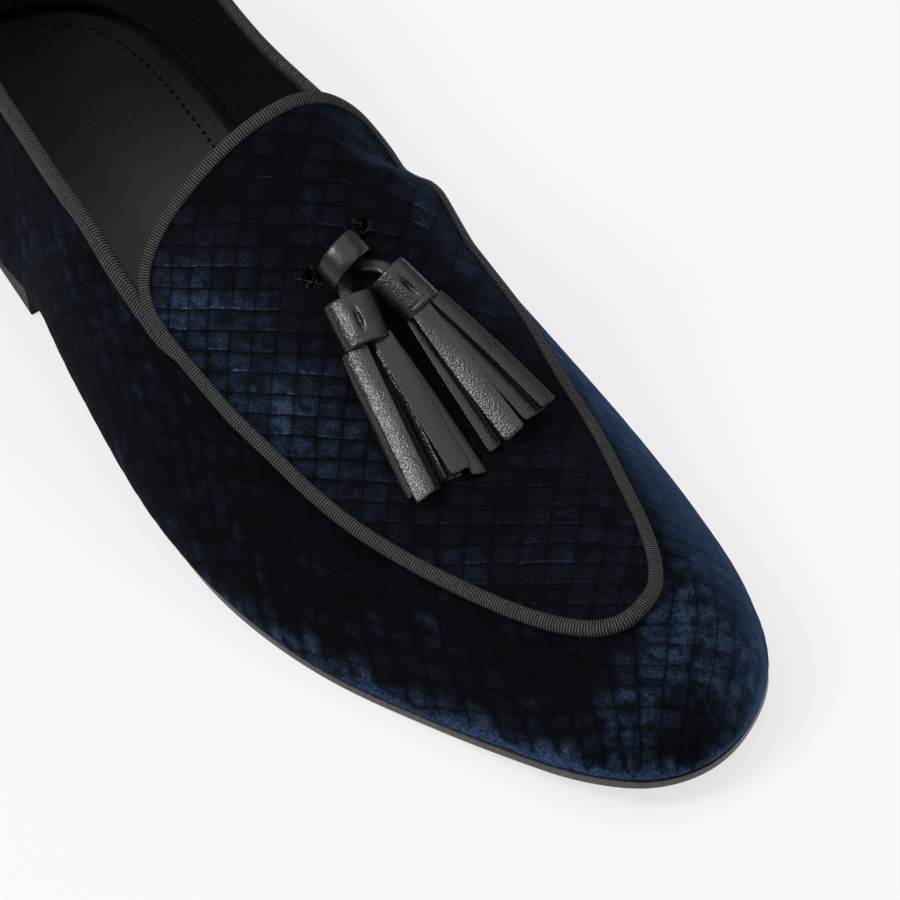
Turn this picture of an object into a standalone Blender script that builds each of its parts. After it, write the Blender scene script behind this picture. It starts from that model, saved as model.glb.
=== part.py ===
# Velvet tassel loafer, right foot, built on the shape of its last.
# Sizes are millimetres, turned into metres where a mesh is made.
# x runs from the back of the heel to the toe, y towards the inside of the foot, z up from the floor.

import math

import bmesh
import bpy
import numpy as np

MM = 0.001
MEDIAL = 1
LATERAL = -1

# Driving sizes
GAP = 0.3                # air left between pieces that meet
WALL = 1.8               # velvet and lining of the upper together
MARGIN = 9.0             # lasting margin turned in under the foot
SOLE = 2.7               # leather sole at the forefoot
SOLE_LEDGE = 1.5         # how far the sole stands out past the feather line
SOLE_BEVEL = 0.5
SOCK = 2.0               # padded sock on the insole
HEEL_BREAST = 77.0       # x of the front face of the heel
HEEL_TAPER = 1.2         # the heel's foot is this much smaller all round
HEEL_HOLLOW = 3.0        # depth of the curve in the front face of the heel
APRON = 1.5              # thickness of the vamp plug and its tongue
TONGUE_LIFT = 1.0        # the tongue rides this much higher, over the collar ribbon
RIBBON = 0.6             # thickness of the ribbon that binds the edges
APRON_RIBBON = 2.7       # width of ribbon that shows on top of the apron
COLLAR_RIBBON = 2.6      # width of ribbon that shows outside and inside the collar
THROAT = (150.0, 162.0)  # the throat of the upper climbs to the ridge between these
COLLAR_ENDS = 148.0      # the collar ribbon runs under the apron up to here

# The last: one row for each section from heel to toe.
# bottom is the height of the feather line and ridge that of the top line over it.
# bulge is how far the side swells past the feather line, and power how square the section is.
LAST_COLUMNS = ("x", "medial", "lateral", "bottom", "ridge", "ridge_y", "bulge", "power")
LAST_ROWS = (
    (2.0, 25.5, 19.8, 14.0, 105.0, 1.6, 3.6, 1.96),
    (28.0, 32.3, 29.6, 14.0, 107.0, 0.6, 3.6, 1.96),
    (78.0, 27.2, 37.0, 14.0, 111.0, -1.3, 3.8, 1.98),
    (116.0, 26.8, 43.2, 9.0, 96.0, -0.8, 6.1, 1.93),
    (153.0, 33.9, 49.0, 4.6, 73.6, 0.4, 5.8, 1.94),
    (188.0, 40.0, 50.8, 3.0, 53.7, 2.6, 3.2, 2.08),
    (216.0, 41.4, 46.3, 3.0, 42.2, 4.2, 2.0, 2.09),
    (246.0, 37.8, 35.8, 4.4, 37.0, 5.2, 1.1, 2.07),
    (272.0, 29.6, 25.5, 7.3, 33.4, 4.5, 0.6, 2.07),
    (289.0, 12.4, 14.5, 10.0, 30.0, 3.1, 0.7, 2.10),
)
HEEL_POINT = (-8.0, 3.6)
TOE_POINT = (293.0, -1.2)
RIDGE_ENDS = (28.0, 259.0)   # the top line runs between these, the ends of the plan lean to them
RIDGE_FALL = 3.0             # how far the top line drops past its first and last row
BULGE_RISE = 0.55            # below 1 puts the widest place low on the side

# Height of the collar edge on each side of the foot, heel to throat
TOPLINE_COLUMNS = ("x", "lateral", "medial")
TOPLINE_ROWS = (
    (-8.0, 65.5, 65.5),
    (22.0, 62.5, 62.0),
    (72.0, 59.2, 56.0),
    (112.0, 57.7, 56.0),
    (130.0, 54.5, 58.2),
    (145.0, 51.4, 60.0),
    (153.0, 48.6, 59.8),
)

# Edge of the apron: how far up the section it runs, 0 at the feather line and 1 at the ridge
APRON_COLUMNS = ("x", "lateral", "medial")
APRON_ROWS = (
    (137.2, 0.600, 0.740),
    (137.6, 0.535, 0.690),
    (138.8, 0.480, 0.650),
    (141.6, 0.437, 0.620),
    (147.5, 0.415, 0.590),
    (160.0, 0.430, 0.580),
    (175.5, 0.448, 0.597),
    (188.0, 0.470, 0.609),
    (206.0, 0.488, 0.670),
    (223.5, 0.510, 0.714),
    (240.0, 0.530, 0.780),
    (256.0, 0.559, 0.828),
    (273.0, 0.622, 0.865),
    (283.0, 0.689, 0.872),
    (290.5, 0.768, 0.850),
    (293.0, 0.820, 0.820),
)

# Tassels: the axis of each runs over the apron through three places on the section,
# the cap's head, the cap's foot and the fringe's end, given as x, side, share of the section, lift
TASSEL_AXES = {
    "lateral": ((177.2, LATERAL, 0.843, 6.6), (187.3, LATERAL, 0.823, 6.6), (220.6, LATERAL, 0.753, 5.8)),
    "medial": ((176.3, LATERAL, 0.955, 6.6), (186.0, LATERAL, 0.985, 6.6), (217.9, MEDIAL, 0.985, 5.8)),
}
CAP_WIDTHS = {"lateral": (9.6, 10.4), "medial": (8.6, 9.4)}   # at the head and at the foot
CAP_DEPTH = 7.0              # through the cap, square to the shoe
FRINGE_ROOT = 0.86           # the fringe leaves the cap at this share of its width
FRINGE_SPREAD = {"lateral": 15.5, "medial": 17.0}
FRINGE_DEPTH = 5.2
FRINGE_STRIPS = 12
STRIP_CUT = 0.24             # depth of the cut between two strips, as a share of the radius
STRIP_RAGGED = 1.8           # the strips end unevenly by up to this
LACE_RADIUS = 1.1
BAND_WIDTH = 4.2
BAND_THICK = 1.2
BAND_ARCH = 7.0              # height of the keeper band over the apron
BAND_FEET = ((167.5, LATERAL, 0.779), (165.8, LATERAL, 0.987))

# Steps of the meshes
END_STEPS = 9
SIDE_STEP = 7.5
WALL_ROWS = 8
APRON_ROWS_A_SIDE = 6
PLAN_SAMPLES = 4000


def column(columns, rows, name):
    return np.array([row[columns.index(name)] for row in rows])


def last_column(name):
    return column(LAST_COLUMNS, LAST_ROWS, name)


# Curves through a row of values

def monotone(xs, ys):
    xs = np.asarray(xs, float)
    ys = np.asarray(ys, float)
    step = np.diff(xs)
    rise = np.diff(ys) / step
    slope = np.zeros(len(xs))
    slope[0] = rise[0]
    slope[-1] = rise[-1]
    for i in range(1, len(xs) - 1):
        if rise[i - 1] * rise[i] > 0:
            before = 2 * step[i] + step[i - 1]
            after = step[i] + 2 * step[i - 1]
            slope[i] = (before + after) / (before / rise[i - 1] + after / rise[i])

    def value(q):
        q = np.clip(np.asarray(q, float), xs[0], xs[-1])
        i = np.clip(np.searchsorted(xs, q, side="right") - 1, 0, len(step) - 1)
        t = (q - xs[i]) / step[i]
        start = (1 + 2 * t) * (1 - t) ** 2 * ys[i] + t * (1 - t) ** 2 * step[i] * slope[i]
        end = t * t * (3 - 2 * t) * ys[i + 1] + t * t * (t - 1) * step[i] * slope[i + 1]
        return start + end

    return value


def bent_lath(xs, ys):
    xs = np.asarray(xs, float)
    ys = np.asarray(ys, float)
    count = len(xs)
    step = np.diff(xs)
    matrix = np.eye(count)
    right = np.zeros(count)
    for i in range(1, count - 1):
        matrix[i, i - 1:i + 2] = step[i - 1], 2 * (step[i - 1] + step[i]), step[i]
        right[i] = 6 * ((ys[i + 1] - ys[i]) / step[i] - (ys[i] - ys[i - 1]) / step[i - 1])
    bend = np.linalg.solve(matrix, right)

    def value(q):
        q = np.clip(np.asarray(q, float), xs[0], xs[-1])
        i = np.clip(np.searchsorted(xs, q, side="right") - 1, 0, count - 2)
        left = xs[i + 1] - q
        gone = q - xs[i]
        cubic = (bend[i] * left ** 3 + bend[i + 1] * gone ** 3) / (6 * step[i])
        start = (ys[i] / step[i] - bend[i] * step[i] / 6) * left
        end = (ys[i + 1] / step[i] - bend[i + 1] * step[i] / 6) * gone
        return cubic + start + end

    return value


def closed_lath(points):
    points = np.asarray(points, float)
    count = len(points)
    step = np.linalg.norm(np.roll(points, -1, 0) - points, axis=1)
    knots = np.concatenate([[0.0], np.cumsum(step)])
    matrix = np.zeros((count, count))
    right = np.zeros((count, 2))
    for i in range(count):
        after = (i + 1) % count
        matrix[i, i - 1] += step[i - 1]
        matrix[i, i] += 2 * (step[i - 1] + step[i])
        matrix[i, after] += step[i]
        right[i] = 6 * ((points[after] - points[i]) / step[i] - (points[i] - points[i - 1]) / step[i - 1])
    bend = np.linalg.solve(matrix, right)

    def value(t):
        place = np.mod(np.asarray(t, float), 1.0) * knots[-1]
        i = np.clip(np.searchsorted(knots, place, side="right") - 1, 0, count - 1)
        after = (i + 1) % count
        length = step[i][..., None]
        left = (knots[i + 1] - place)[..., None]
        gone = (place - knots[i])[..., None]
        cubic = (bend[i] * left ** 3 + bend[after] * gone ** 3) / (6 * length)
        start = (points[i] / length - bend[i] * length / 6) * left
        end = (points[after] / length - bend[after] * length / 6) * gone
        return cubic + start + end

    return value


# The last as a function of the place round its plan and the share up its section

def with_ends(values, fall=0.0):
    return np.concatenate([[values[0] - fall], values, [values[-1] - fall]])


LAST_X = np.concatenate([[HEEL_POINT[0]], last_column("x"), [TOE_POINT[0]]])
bottom_height = monotone(LAST_X, with_ends(last_column("bottom")))
ridge_height = bent_lath(LAST_X, with_ends(last_column("ridge"), RIDGE_FALL))
ridge_side = monotone(LAST_X, with_ends(last_column("ridge_y")))
side_bulge = monotone(LAST_X, with_ends(last_column("bulge")))
section_power = monotone(LAST_X, with_ends(last_column("power")))

medial_plan = list(zip(last_column("x"), last_column("medial")))
lateral_plan = list(zip(last_column("x"), -last_column("lateral")))
plan = closed_lath([HEEL_POINT] + medial_plan + [TOE_POINT] + lateral_plan[::-1])

plan_t = np.linspace(0.0, 1.0, PLAN_SAMPLES, endpoint=False)
plan_x = plan(plan_t)[:, 0]
TOE_T = plan_t[plan_x.argmax()]
HEEL_T = plan_t[plan_x.argmin()] - (plan_x.argmin() > PLAN_SAMPLES / 2)
HEEL_X = float(plan(HEEL_T)[0])
TOE_X = float(plan(TOE_T)[0])


def place_on_plan(x, side):
    """The place round the plan of the feather line at x on one side."""
    if side == MEDIAL:
        t = np.linspace(HEEL_T, TOE_T, PLAN_SAMPLES)
    else:
        t = np.linspace(HEEL_T + 1.0, TOE_T, PLAN_SAMPLES)
    return np.interp(x, plan(t)[:, 0], t)


def ridge_x(x):
    """The top line's x for a feather line at x, drawn together at heel and toe."""
    tail, tip = RIDGE_ENDS
    front = 2 * tip - TOE_X
    rear = 2 * tail - HEEL_X
    ahead = np.clip((x - front) / (TOE_X - front), 0, 1)
    behind = np.clip((rear - x) / (rear - HEEL_X), 0, 1)
    drawn = np.where(x > front, front + (tip - front) * (2 * ahead - ahead ** 2), x)
    return np.where(x < rear, rear - (rear - tail) * (2 * behind - behind ** 2), drawn)


def skin(t, v):
    """A point of the outer face, t round the plan and v from feather line to ridge."""
    t, v = np.broadcast_arrays(np.asarray(t, float), np.asarray(v, float))
    foot = plan(t)
    x = foot[..., 0]
    y = foot[..., 1]
    top_x = ridge_x(x)
    across_x = top_x - x
    across_y = ridge_side(top_x) - y
    across = np.hypot(across_x, across_y) + 1e-9
    angle = v * math.pi / 2
    power = section_power(x)
    inward = 1 - np.cos(angle) ** (2 / power)
    rise = np.sin(angle) ** (2 / power)
    swell = side_bulge(x) * np.sin(math.pi * rise ** BULGE_RISE)
    share = inward - swell / across
    low = bottom_height(x)
    return np.stack([x + across_x * share, y + across_y * share, low + (ridge_height(top_x) - low) * rise], -1)


def skin_normal(t, v):
    small = 1e-4
    v = np.clip(v, small, 1 - small)
    along = skin(t + small, v) - skin(t - small, v)
    up = skin(t, v + small) - skin(t, v - small)
    normal = np.cross(up, along)
    return normal / np.linalg.norm(normal, axis=-1, keepdims=True)


def lifted(t, v, lift):
    return skin(t, v) + skin_normal(t, v) * np.asarray(lift)[..., None]


def share_at_height(x, z):
    """The share up the section at which the outer face reaches height z."""
    low = bottom_height(x)
    rise = (z - low) / (ridge_height(ridge_x(x)) - low)
    return np.arcsin(np.clip(rise, 0, 1) ** (section_power(x) / 2)) * 2 / math.pi


def smooth_step(value, start, end):
    t = np.clip((value - start) / (end - start), 0, 1)
    return t * t * (3 - 2 * t)


def side_name(side):
    return "medial" if side == MEDIAL else "lateral"


def topline(x, side):
    """The share up the section of the collar edge, 1 where the upper closes over the foot."""
    rows = column(TOPLINE_COLUMNS, TOPLINE_ROWS, side_name(side))
    height = monotone(column(TOPLINE_COLUMNS, TOPLINE_ROWS, "x"), rows)
    open_share = share_at_height(np.minimum(x, THROAT[0]), height(np.minimum(x, THROAT[0])))
    return open_share + (1 - open_share) * smooth_step(x, *THROAT)


def apron_edge(x, side):
    rows = column(APRON_COLUMNS, APRON_ROWS, side_name(side))
    return monotone(column(APRON_COLUMNS, APRON_ROWS, "x"), rows)(x)


def plan_normal(t):
    small = 1e-4
    along = plan(t + small) - plan(t - small)
    normal = np.stack([-along[..., 1], along[..., 0]], -1)
    return normal / np.linalg.norm(normal, axis=-1, keepdims=True)


def plan_offset(t, out):
    return plan(t) + plan_normal(t) * out


# Stations along the foot

def body_stations():
    quarter = np.sin(np.linspace(0, math.pi / 2, END_STEPS + 1)[:-1])
    tail, tip = RIDGE_ENDS
    heel = HEEL_X + (tail - HEEL_X) * (1 - np.sqrt(1 - quarter ** 2))
    toe = TOE_X - (TOE_X - tip) * (1 - np.sqrt(1 - quarter ** 2))
    count = round((tip - tail) / SIDE_STEP)
    middle = np.linspace(tail, tip, count + 1)
    throat = np.linspace(THROAT[0], THROAT[1], 6)
    middle = middle[(middle < THROAT[0] - 2) | (middle > THROAT[1] + 2)]
    return np.concatenate([heel, np.sort(np.concatenate([middle, throat])), toe[::-1]])


def apron_stations():
    corner = column(APRON_COLUMNS, APRON_ROWS, "x")[:5]
    body = body_stations()
    return np.concatenate([corner, body[body > corner[-1] + 2]])


def ring_places(stations):
    """Places round the plan: medial heel to toe, then lateral toe to heel, with x and side of each."""
    medial = place_on_plan(stations, MEDIAL)
    lateral = place_on_plan(stations[1:-1], LATERAL)[::-1]
    t = np.concatenate([medial, lateral])
    x = np.concatenate([stations, stations[1:-1][::-1]])
    side = np.concatenate([np.full(len(medial), MEDIAL), np.full(len(lateral), LATERAL)])
    return t, x, side


# Materials and meshes

def make_material(name, color, roughness):
    material = bpy.data.materials.new(name)
    material.use_nodes = True
    shader = material.node_tree.nodes["Principled BSDF"]
    shader.inputs["Base Color"].default_value = (*color, 1.0)
    shader.inputs["Roughness"].default_value = roughness
    shader.inputs["Metallic"].default_value = 0.0
    material.diffuse_color = (*color, 1.0)
    return material


def add_object(name, mesh, material, root):
    mesh.materials.append(material)
    mesh.shade_smooth()
    mesh.set_sharp_from_angle(angle=math.radians(40))
    piece = bpy.data.objects.new(name, mesh)
    bpy.context.collection.objects.link(piece)
    piece.parent = root
    return piece


def mesh_from(name, points, faces, weld=0.0):
    """A mesh from points in millimetres, with equal points welded and faces turned outwards."""
    shape = bmesh.new()
    verts = [shape.verts.new(np.asarray(point) * MM) for point in points]
    for face in faces:
        shape.faces.new([verts[i] for i in face])
    if weld:
        bmesh.ops.remove_doubles(shape, verts=shape.verts[:], dist=weld * MM)
    bmesh.ops.recalc_face_normals(shape, faces=shape.faces[:])
    mesh = bpy.data.meshes.new(name)
    shape.to_mesh(mesh)
    shape.free()
    return mesh


def loft(name, rings, closed_path=False, flat_ends=False):
    """A solid skinned over rings of points. Its ends are one flat face or a fan, or its path is closed."""
    rings = np.asarray(rings)
    count, sides = rings.shape[:2]
    points = list(rings.reshape(-1, 3))
    faces = []
    for i in range(count if closed_path else count - 1):
        start = i * sides
        after = (i + 1) % count * sides
        for j in range(sides):
            k = (j + 1) % sides
            faces.append((start + j, start + k, after + k, after + j))
    if flat_ends:
        faces += [tuple(range(sides)), tuple(range((count - 1) * sides, count * sides))]
    elif not closed_path:
        for ring in (0, count - 1):
            points.append(rings[ring].mean(0))
            middle = len(points) - 1
            first = ring * sides
            faces += [(first + j, first + (j + 1) % sides, middle) for j in range(sides)]
    return mesh_from(name, points, faces)


def strip_faces(columns, rows, closed):
    """Quads between neighbouring columns of equal length."""
    faces = []
    for i in range(columns if closed else columns - 1):
        after = (i + 1) % columns
        for j in range(rows - 1):
            faces.append((i * rows + j, after * rows + j, after * rows + j + 1, i * rows + j + 1))
    return faces


def add_wall(piece, thickness, offset):
    wall = piece.modifiers.new("wall", "SOLIDIFY")
    wall.thickness = thickness * MM
    wall.offset = offset
    wall.use_even_offset = True
    wall.use_rim = True


# Sole, heel and sock lie flat across the foot

def plate(name, stations, profile):
    """A plate across the foot. profile rows are the outline's offset and the height over the bottom."""
    t, _, _ = ring_places(stations)
    count = len(t)
    points = []
    for out, over in profile:
        outline = plan_offset(t, out)
        points += [(x, y, bottom_height(x) + over) for x, y in outline]
    faces = []
    for level in range(len(profile) - 1):
        for i in range(count):
            j = (i + 1) % count
            faces.append((level * count + i, level * count + j, (level + 1) * count + j, (level + 1) * count + i))
    last_row = len(stations) - 1
    for first in (0, (len(profile) - 1) * count):
        faces.append((first, first + 1, first + count - 1))
        for i in range(1, last_row - 1):
            faces.append((first + i, first + i + 1, first + count - i - 1, first + count - i))
        faces.append((first + last_row - 1, first + last_row, first + last_row + 1))
    return mesh_from(name, points, faces)


def build_outsole(material, root):
    top = -GAP
    low = -GAP - SOLE
    profile = (
        (SOLE_LEDGE - SOLE_BEVEL, low),
        (SOLE_LEDGE, low + SOLE_BEVEL),
        (SOLE_LEDGE, top - SOLE_BEVEL),
        (SOLE_LEDGE - SOLE_BEVEL, top),
    )
    return add_object("outsole", plate("outsole", body_stations(), profile), material, root)


def build_insole(material, root):
    inset = -(WALL + GAP + 0.2)
    low = WALL + GAP
    profile = (
        (inset - 0.2, low),
        (inset, low + SOCK / 2),
        (inset - 0.4, low + SOCK),
    )
    return add_object("insole", plate("insole", body_stations(), profile), material, root)


def build_heel(material, root):
    """The block under the heel seat: the sole's outline behind a hollowed front face."""
    seat = bottom_height(HEEL_X) - GAP - SOLE - GAP
    stations = body_stations()
    stations = np.append(stations[stations < HEEL_BREAST - HEEL_HOLLOW - 2], HEEL_BREAST)
    medial = place_on_plan(stations, MEDIAL)
    lateral = place_on_plan(stations[1:], LATERAL)[::-1]
    rows = ((HEEL_TAPER + SOLE_BEVEL, 0.0), (HEEL_TAPER, SOLE_BEVEL), (0.0, seat))
    breast_steps = 5
    rings = []
    for inset, z in rows:
        outer = np.concatenate([plan_offset(medial, SOLE_LEDGE - inset), plan_offset(lateral, SOLE_LEDGE - inset)])
        start = outer[len(medial) - 1]
        end = outer[len(medial)]
        breast = []
        for i in range(1, breast_steps):
            share = i / breast_steps
            point = start + (end - start) * share
            point[0] -= HEEL_HOLLOW * math.sin(math.pi * share)
            breast.append(point)
        ring = np.concatenate([outer[:len(medial)], breast, outer[len(medial):]])
        rings.append(np.column_stack([ring, np.full(len(ring), z)]))
    return add_object("heel", loft("heel", rings, flat_ends=True), material, root)


# The upper: one wall from the margin under the foot to the collar

def build_upper(material, root):
    t, x, side = ring_places(body_stations())
    top = np.where(side == MEDIAL, topline(x, MEDIAL), topline(x, LATERAL))
    inner = plan_offset(t, -MARGIN)
    middle = plan_offset(t, -MARGIN / 3)
    columns = []
    for i in range(len(t)):
        under = [(*inner[i], bottom_height(inner[i, 0])), (*middle[i], bottom_height(middle[i, 0]))]
        shares = top[i] * np.linspace(0, 1, WALL_ROWS + 1)
        columns.append(np.concatenate([under, skin(t[i], shares)]))
    rows = WALL_ROWS + 3
    mesh = mesh_from("upper", np.concatenate(columns), strip_faces(len(t), rows, True), weld=0.05)
    piece = add_object("upper", mesh, material, root)
    add_wall(piece, WALL, -1.0)
    return piece


# The apron and its tongue: a plate over the upper, inside one closed edge

def apron_lift(x):
    return GAP + TONGUE_LIFT * (1 - smooth_step(x, THROAT[0] + 4, THROAT[1] + 8))


def build_apron(material, root):
    stations = apron_stations()
    sheets = []
    for side in (MEDIAL, LATERAL):
        t = place_on_plan(stations, side)
        edge = apron_edge(stations, side)
        for i in range(len(stations)):
            shares = edge[i] + (1 - edge[i]) * np.linspace(0, 1, APRON_ROWS_A_SIDE + 1)
            lift = np.full(len(shares), apron_lift(stations[i]))
            sheets.append(lifted(np.full(len(shares), t[i]), shares, lift))
    rows = APRON_ROWS_A_SIDE + 1
    count = len(stations)
    faces = strip_faces(count, rows, False)
    faces += [tuple(i + count * rows for i in face) for face in strip_faces(count, rows, False)]
    mesh = mesh_from("apron", np.concatenate(sheets), faces, weld=0.05)
    piece = add_object("apron", mesh, material, root)
    add_wall(piece, APRON, 1.0)
    return piece


def apron_loop():
    """Places of the apron's edge in order: lateral corner to toe, medial corner, across the tongue."""
    stations = apron_stations()
    lateral = [(x, LATERAL, apron_edge(x, LATERAL)) for x in stations]
    medial = [(x, MEDIAL, apron_edge(x, MEDIAL)) for x in stations[:-1]][::-1]
    shares = np.linspace(0, 1, APRON_ROWS_A_SIDE + 1)[1:]
    back = stations[0]
    climb = [(back, MEDIAL, medial[-1][2] + (1 - medial[-1][2]) * s) for s in shares]
    fall = [(back, LATERAL, lateral[0][2] + (1 - lateral[0][2]) * s) for s in shares[:-1]][::-1]
    return lateral + medial + climb + fall


def sweep_frames(points, normals, closed):
    """Tangent, outward normal and the direction in the surface to the left of the path."""
    if closed:
        along = np.roll(points, -1, 0) - np.roll(points, 1, 0)
    else:
        along = np.gradient(points, axis=0)
    along /= np.linalg.norm(along, axis=1, keepdims=True)
    left = np.cross(normals, along)
    left /= np.linalg.norm(left, axis=1, keepdims=True)
    return along, left


def build_apron_ribbon(material, root):
    """The ribbon round the apron: a strip on top and a skirt down its edge."""
    loop = apron_loop()
    points = []
    normals = []
    for x, side, share in loop:
        t = place_on_plan(x, side)
        normals.append(skin_normal(t, share))
        points.append(skin(t, share) + normals[-1] * apron_lift(x))
    points = np.array(points)
    normals = np.array(normals)
    _, inward = sweep_frames(points, normals, True)
    inner = GAP + RIBBON
    top = APRON + GAP
    section = (
        (-GAP, 0.0),
        (-inner, 0.0),
        (-inner, top),
        (-inner + RIBBON * 0.6, top + RIBBON),
        (APRON_RIBBON - inner, top + RIBBON),
        (APRON_RIBBON - inner, top),
        (-GAP, top),
    )
    rings = [[p + left * a + n * b for a, b in section] for p, left, n in zip(points, inward, normals)]
    return add_object("apron_ribbon", loft("apron_ribbon", rings, closed_path=True), material, root)


def build_collar_ribbon(material, root):
    """The ribbon folded over the collar edge, outside, over the top and inside."""
    t, x, side = ring_places(body_stations())
    inside = x <= COLLAR_ENDS
    order = np.roll(np.arange(len(t)), -int(np.argmin(inside)))
    order = order[inside[order]]
    t, x, side = t[order], x[order], side[order]
    top = np.where(side == MEDIAL, topline(x, MEDIAL), topline(x, LATERAL))
    points = skin(t, top)
    up = points - skin(t, top * (1 - 1 / WALL_ROWS))
    up /= np.linalg.norm(up, axis=1, keepdims=True)
    normals = np.cross(up, np.gradient(points, axis=0))
    normals /= np.linalg.norm(normals, axis=1, keepdims=True)
    near = GAP
    far = GAP + RIBBON
    section = (
        (near, -COLLAR_RIBBON),
        (far, -COLLAR_RIBBON),
        (far, near),
        (RIBBON / 2, far),
        (-WALL - RIBBON / 2, far),
        (-WALL - far, near),
        (-WALL - far, -COLLAR_RIBBON),
        (-WALL - near, -COLLAR_RIBBON),
        (-WALL - near, near),
        (near, near),
    )
    rings = [[p + n * a + u * b for a, b in section] for p, n, u in zip(points, normals, up)]
    return add_object("collar_ribbon", loft("collar_ribbon", rings, flat_ends=True), material, root)


# Tassels lying on the apron, with the lace that joins them under a keeper band

def skin_place(x, side, share, lift):
    t = place_on_plan(x, side)
    normal = skin_normal(t, share)
    return skin(t, share) + normal * lift, normal


def unit(vector):
    return vector / np.linalg.norm(vector)


def tassel_frame(start, end, normal):
    along = unit(end - start)
    across = unit(np.cross(normal, along))
    return along, across, unit(np.cross(along, across))


def build_cap(name, axis, widths, material, root):
    head, normal = skin_place(*axis[0])
    foot, _ = skin_place(*axis[1])
    along, across, up = tassel_frame(head, foot, normal)
    length = np.linalg.norm(foot - head)
    rows = (
        (0.0, widths[0] * 0.62),
        (0.06, widths[0] * 0.88),
        (0.16, widths[0]),
        (0.92, widths[1]),
        (1.0, widths[1] * 0.95),
    )
    sides = 16
    rings = []
    for share, width in rows:
        center = head + along * length * share
        deep = CAP_DEPTH * width / widths[1]
        ring = []
        for i in range(sides):
            angle = 2 * math.pi * i / sides
            ring.append(center + across * math.cos(angle) * width / 2 + up * math.sin(angle) * deep / 2)
        rings.append(ring)
    return add_object(name, loft(name, rings), material, root)


def build_fringe(name, axis, width, spread, seed, material, root):
    """Leather strips side by side round a core, cut unevenly at their ends."""
    head, head_normal = skin_place(*axis[0])
    foot, normal = skin_place(*axis[1])
    end, _ = skin_place(*axis[2])
    cap_frame = np.array(tassel_frame(head, foot, head_normal))
    own_frame = np.array(tassel_frame(foot, end, normal))
    root_point = foot + cap_frame[0] * GAP
    length = np.linalg.norm(end - root_point)
    random = np.random.default_rng(seed)
    ragged = random.uniform(-STRIP_RAGGED, 0.0, FRINGE_STRIPS)
    rows = ((0.0, FRINGE_ROOT * width, FRINGE_ROOT * CAP_DEPTH * 0.9), (0.3, 0.62 * spread, FRINGE_DEPTH),
            (0.65, 0.82 * spread, FRINGE_DEPTH), (1.0, spread, FRINGE_DEPTH * 0.9))
    across_strip = ((0.06, 1 - STRIP_CUT), (0.16, 1.0), (0.84, 1.0), (0.94, 1 - STRIP_CUT))
    rings = []
    for share, wide, deep in rows:
        turn = smooth_step(share, 0.0, 0.3)
        along, across, up = [unit(axis) for axis in cap_frame * (1 - turn) + own_frame * turn]
        ring = []
        for strip in range(FRINGE_STRIPS):
            for place, reach in across_strip:
                angle = 2 * math.pi * (strip + place) / FRINGE_STRIPS
                point = root_point + own_frame[0] * length * share + along * ragged[strip] * share ** 4
                point = point + across * math.cos(angle) * reach * wide / 2
                ring.append(point + up * math.sin(angle) * reach * deep / 2)
        rings.append(ring)
    return add_object(name, loft(name, rings), material, root)


def build_lace(name, material, root):
    """One lace from cap to cap, looped up under the keeper band."""
    ends = []
    for key in ("lateral", "medial"):
        head, normal = skin_place(*TASSEL_AXES[key][0])
        foot, _ = skin_place(*TASSEL_AXES[key][1])
        along, _, _ = tassel_frame(head, foot, normal)
        ends.append((head - along * GAP, -along))
    feet = [skin_place(*foot, APRON + GAP)[0] for foot in BAND_FEET]
    middle = (feet[0] + feet[1]) / 2
    normal = skin_place(*BAND_FEET[0], 0.0)[1] + skin_place(*BAND_FEET[1], 0.0)[1]
    across = unit(feet[1] - feet[0])
    loop = middle + unit(normal) * (BAND_ARCH * 0.5)
    backward = unit(np.cross(unit(normal), across))
    backward = backward if backward[0] < 0 else -backward
    route = [ends[0][0], ends[0][0] + ends[0][1] * 3.0, loop - across * 2.4, loop + backward * 2.2,
             loop + across * 2.4, ends[1][0] + ends[1][1] * 3.0, ends[1][0]]
    knots = np.arange(len(route))
    fine = np.linspace(0, knots[-1], 25)
    smooth = np.column_stack([bent_lath(knots, np.array(route)[:, axis])(fine) for axis in range(3)])
    path = np.gradient(smooth, axis=0)
    path[0] = ends[0][1]
    path[-1] = -ends[1][1]
    path /= np.linalg.norm(path, axis=1, keepdims=True)
    sides = 8
    rings = []
    for point, tangent in zip(smooth, path):
        level = unit(np.cross(tangent, unit(normal)))
        upright = np.cross(level, tangent)
        ring = []
        for i in range(sides):
            angle = 2 * math.pi * i / sides
            ring.append(point + (level * math.cos(angle) + upright * math.sin(angle)) * LACE_RADIUS)
        rings.append(ring)
    return add_object(name, loft(name, rings), material, root)


def build_band(name, material, root):
    """The keeper band: a flat strip arched over the lace from slit to slit."""
    feet = [skin_place(*foot, APRON + 3 * GAP) for foot in BAND_FEET]
    start, end = feet[0][0], feet[1][0]
    normal = unit(feet[0][1] + feet[1][1])
    across = unit(end - start)
    width = np.cross(normal, across)
    steps = 12
    rings = []
    for i in range(steps + 1):
        share = i / steps
        arch = math.sin(math.pi * share) ** 0.7
        point = start + (end - start) * share + normal * BAND_ARCH * arch
        slope = math.cos(math.pi * share) * math.pi * BAND_ARCH / np.linalg.norm(end - start)
        lean = unit(normal - across * slope * 0.6)
        half = width * BAND_WIDTH / 2
        rings.append([point - half, point + half, point + half + lean * BAND_THICK, point - half + lean * BAND_THICK])
    return add_object(name, loft(name, rings), material, root)


# Assembly

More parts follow.
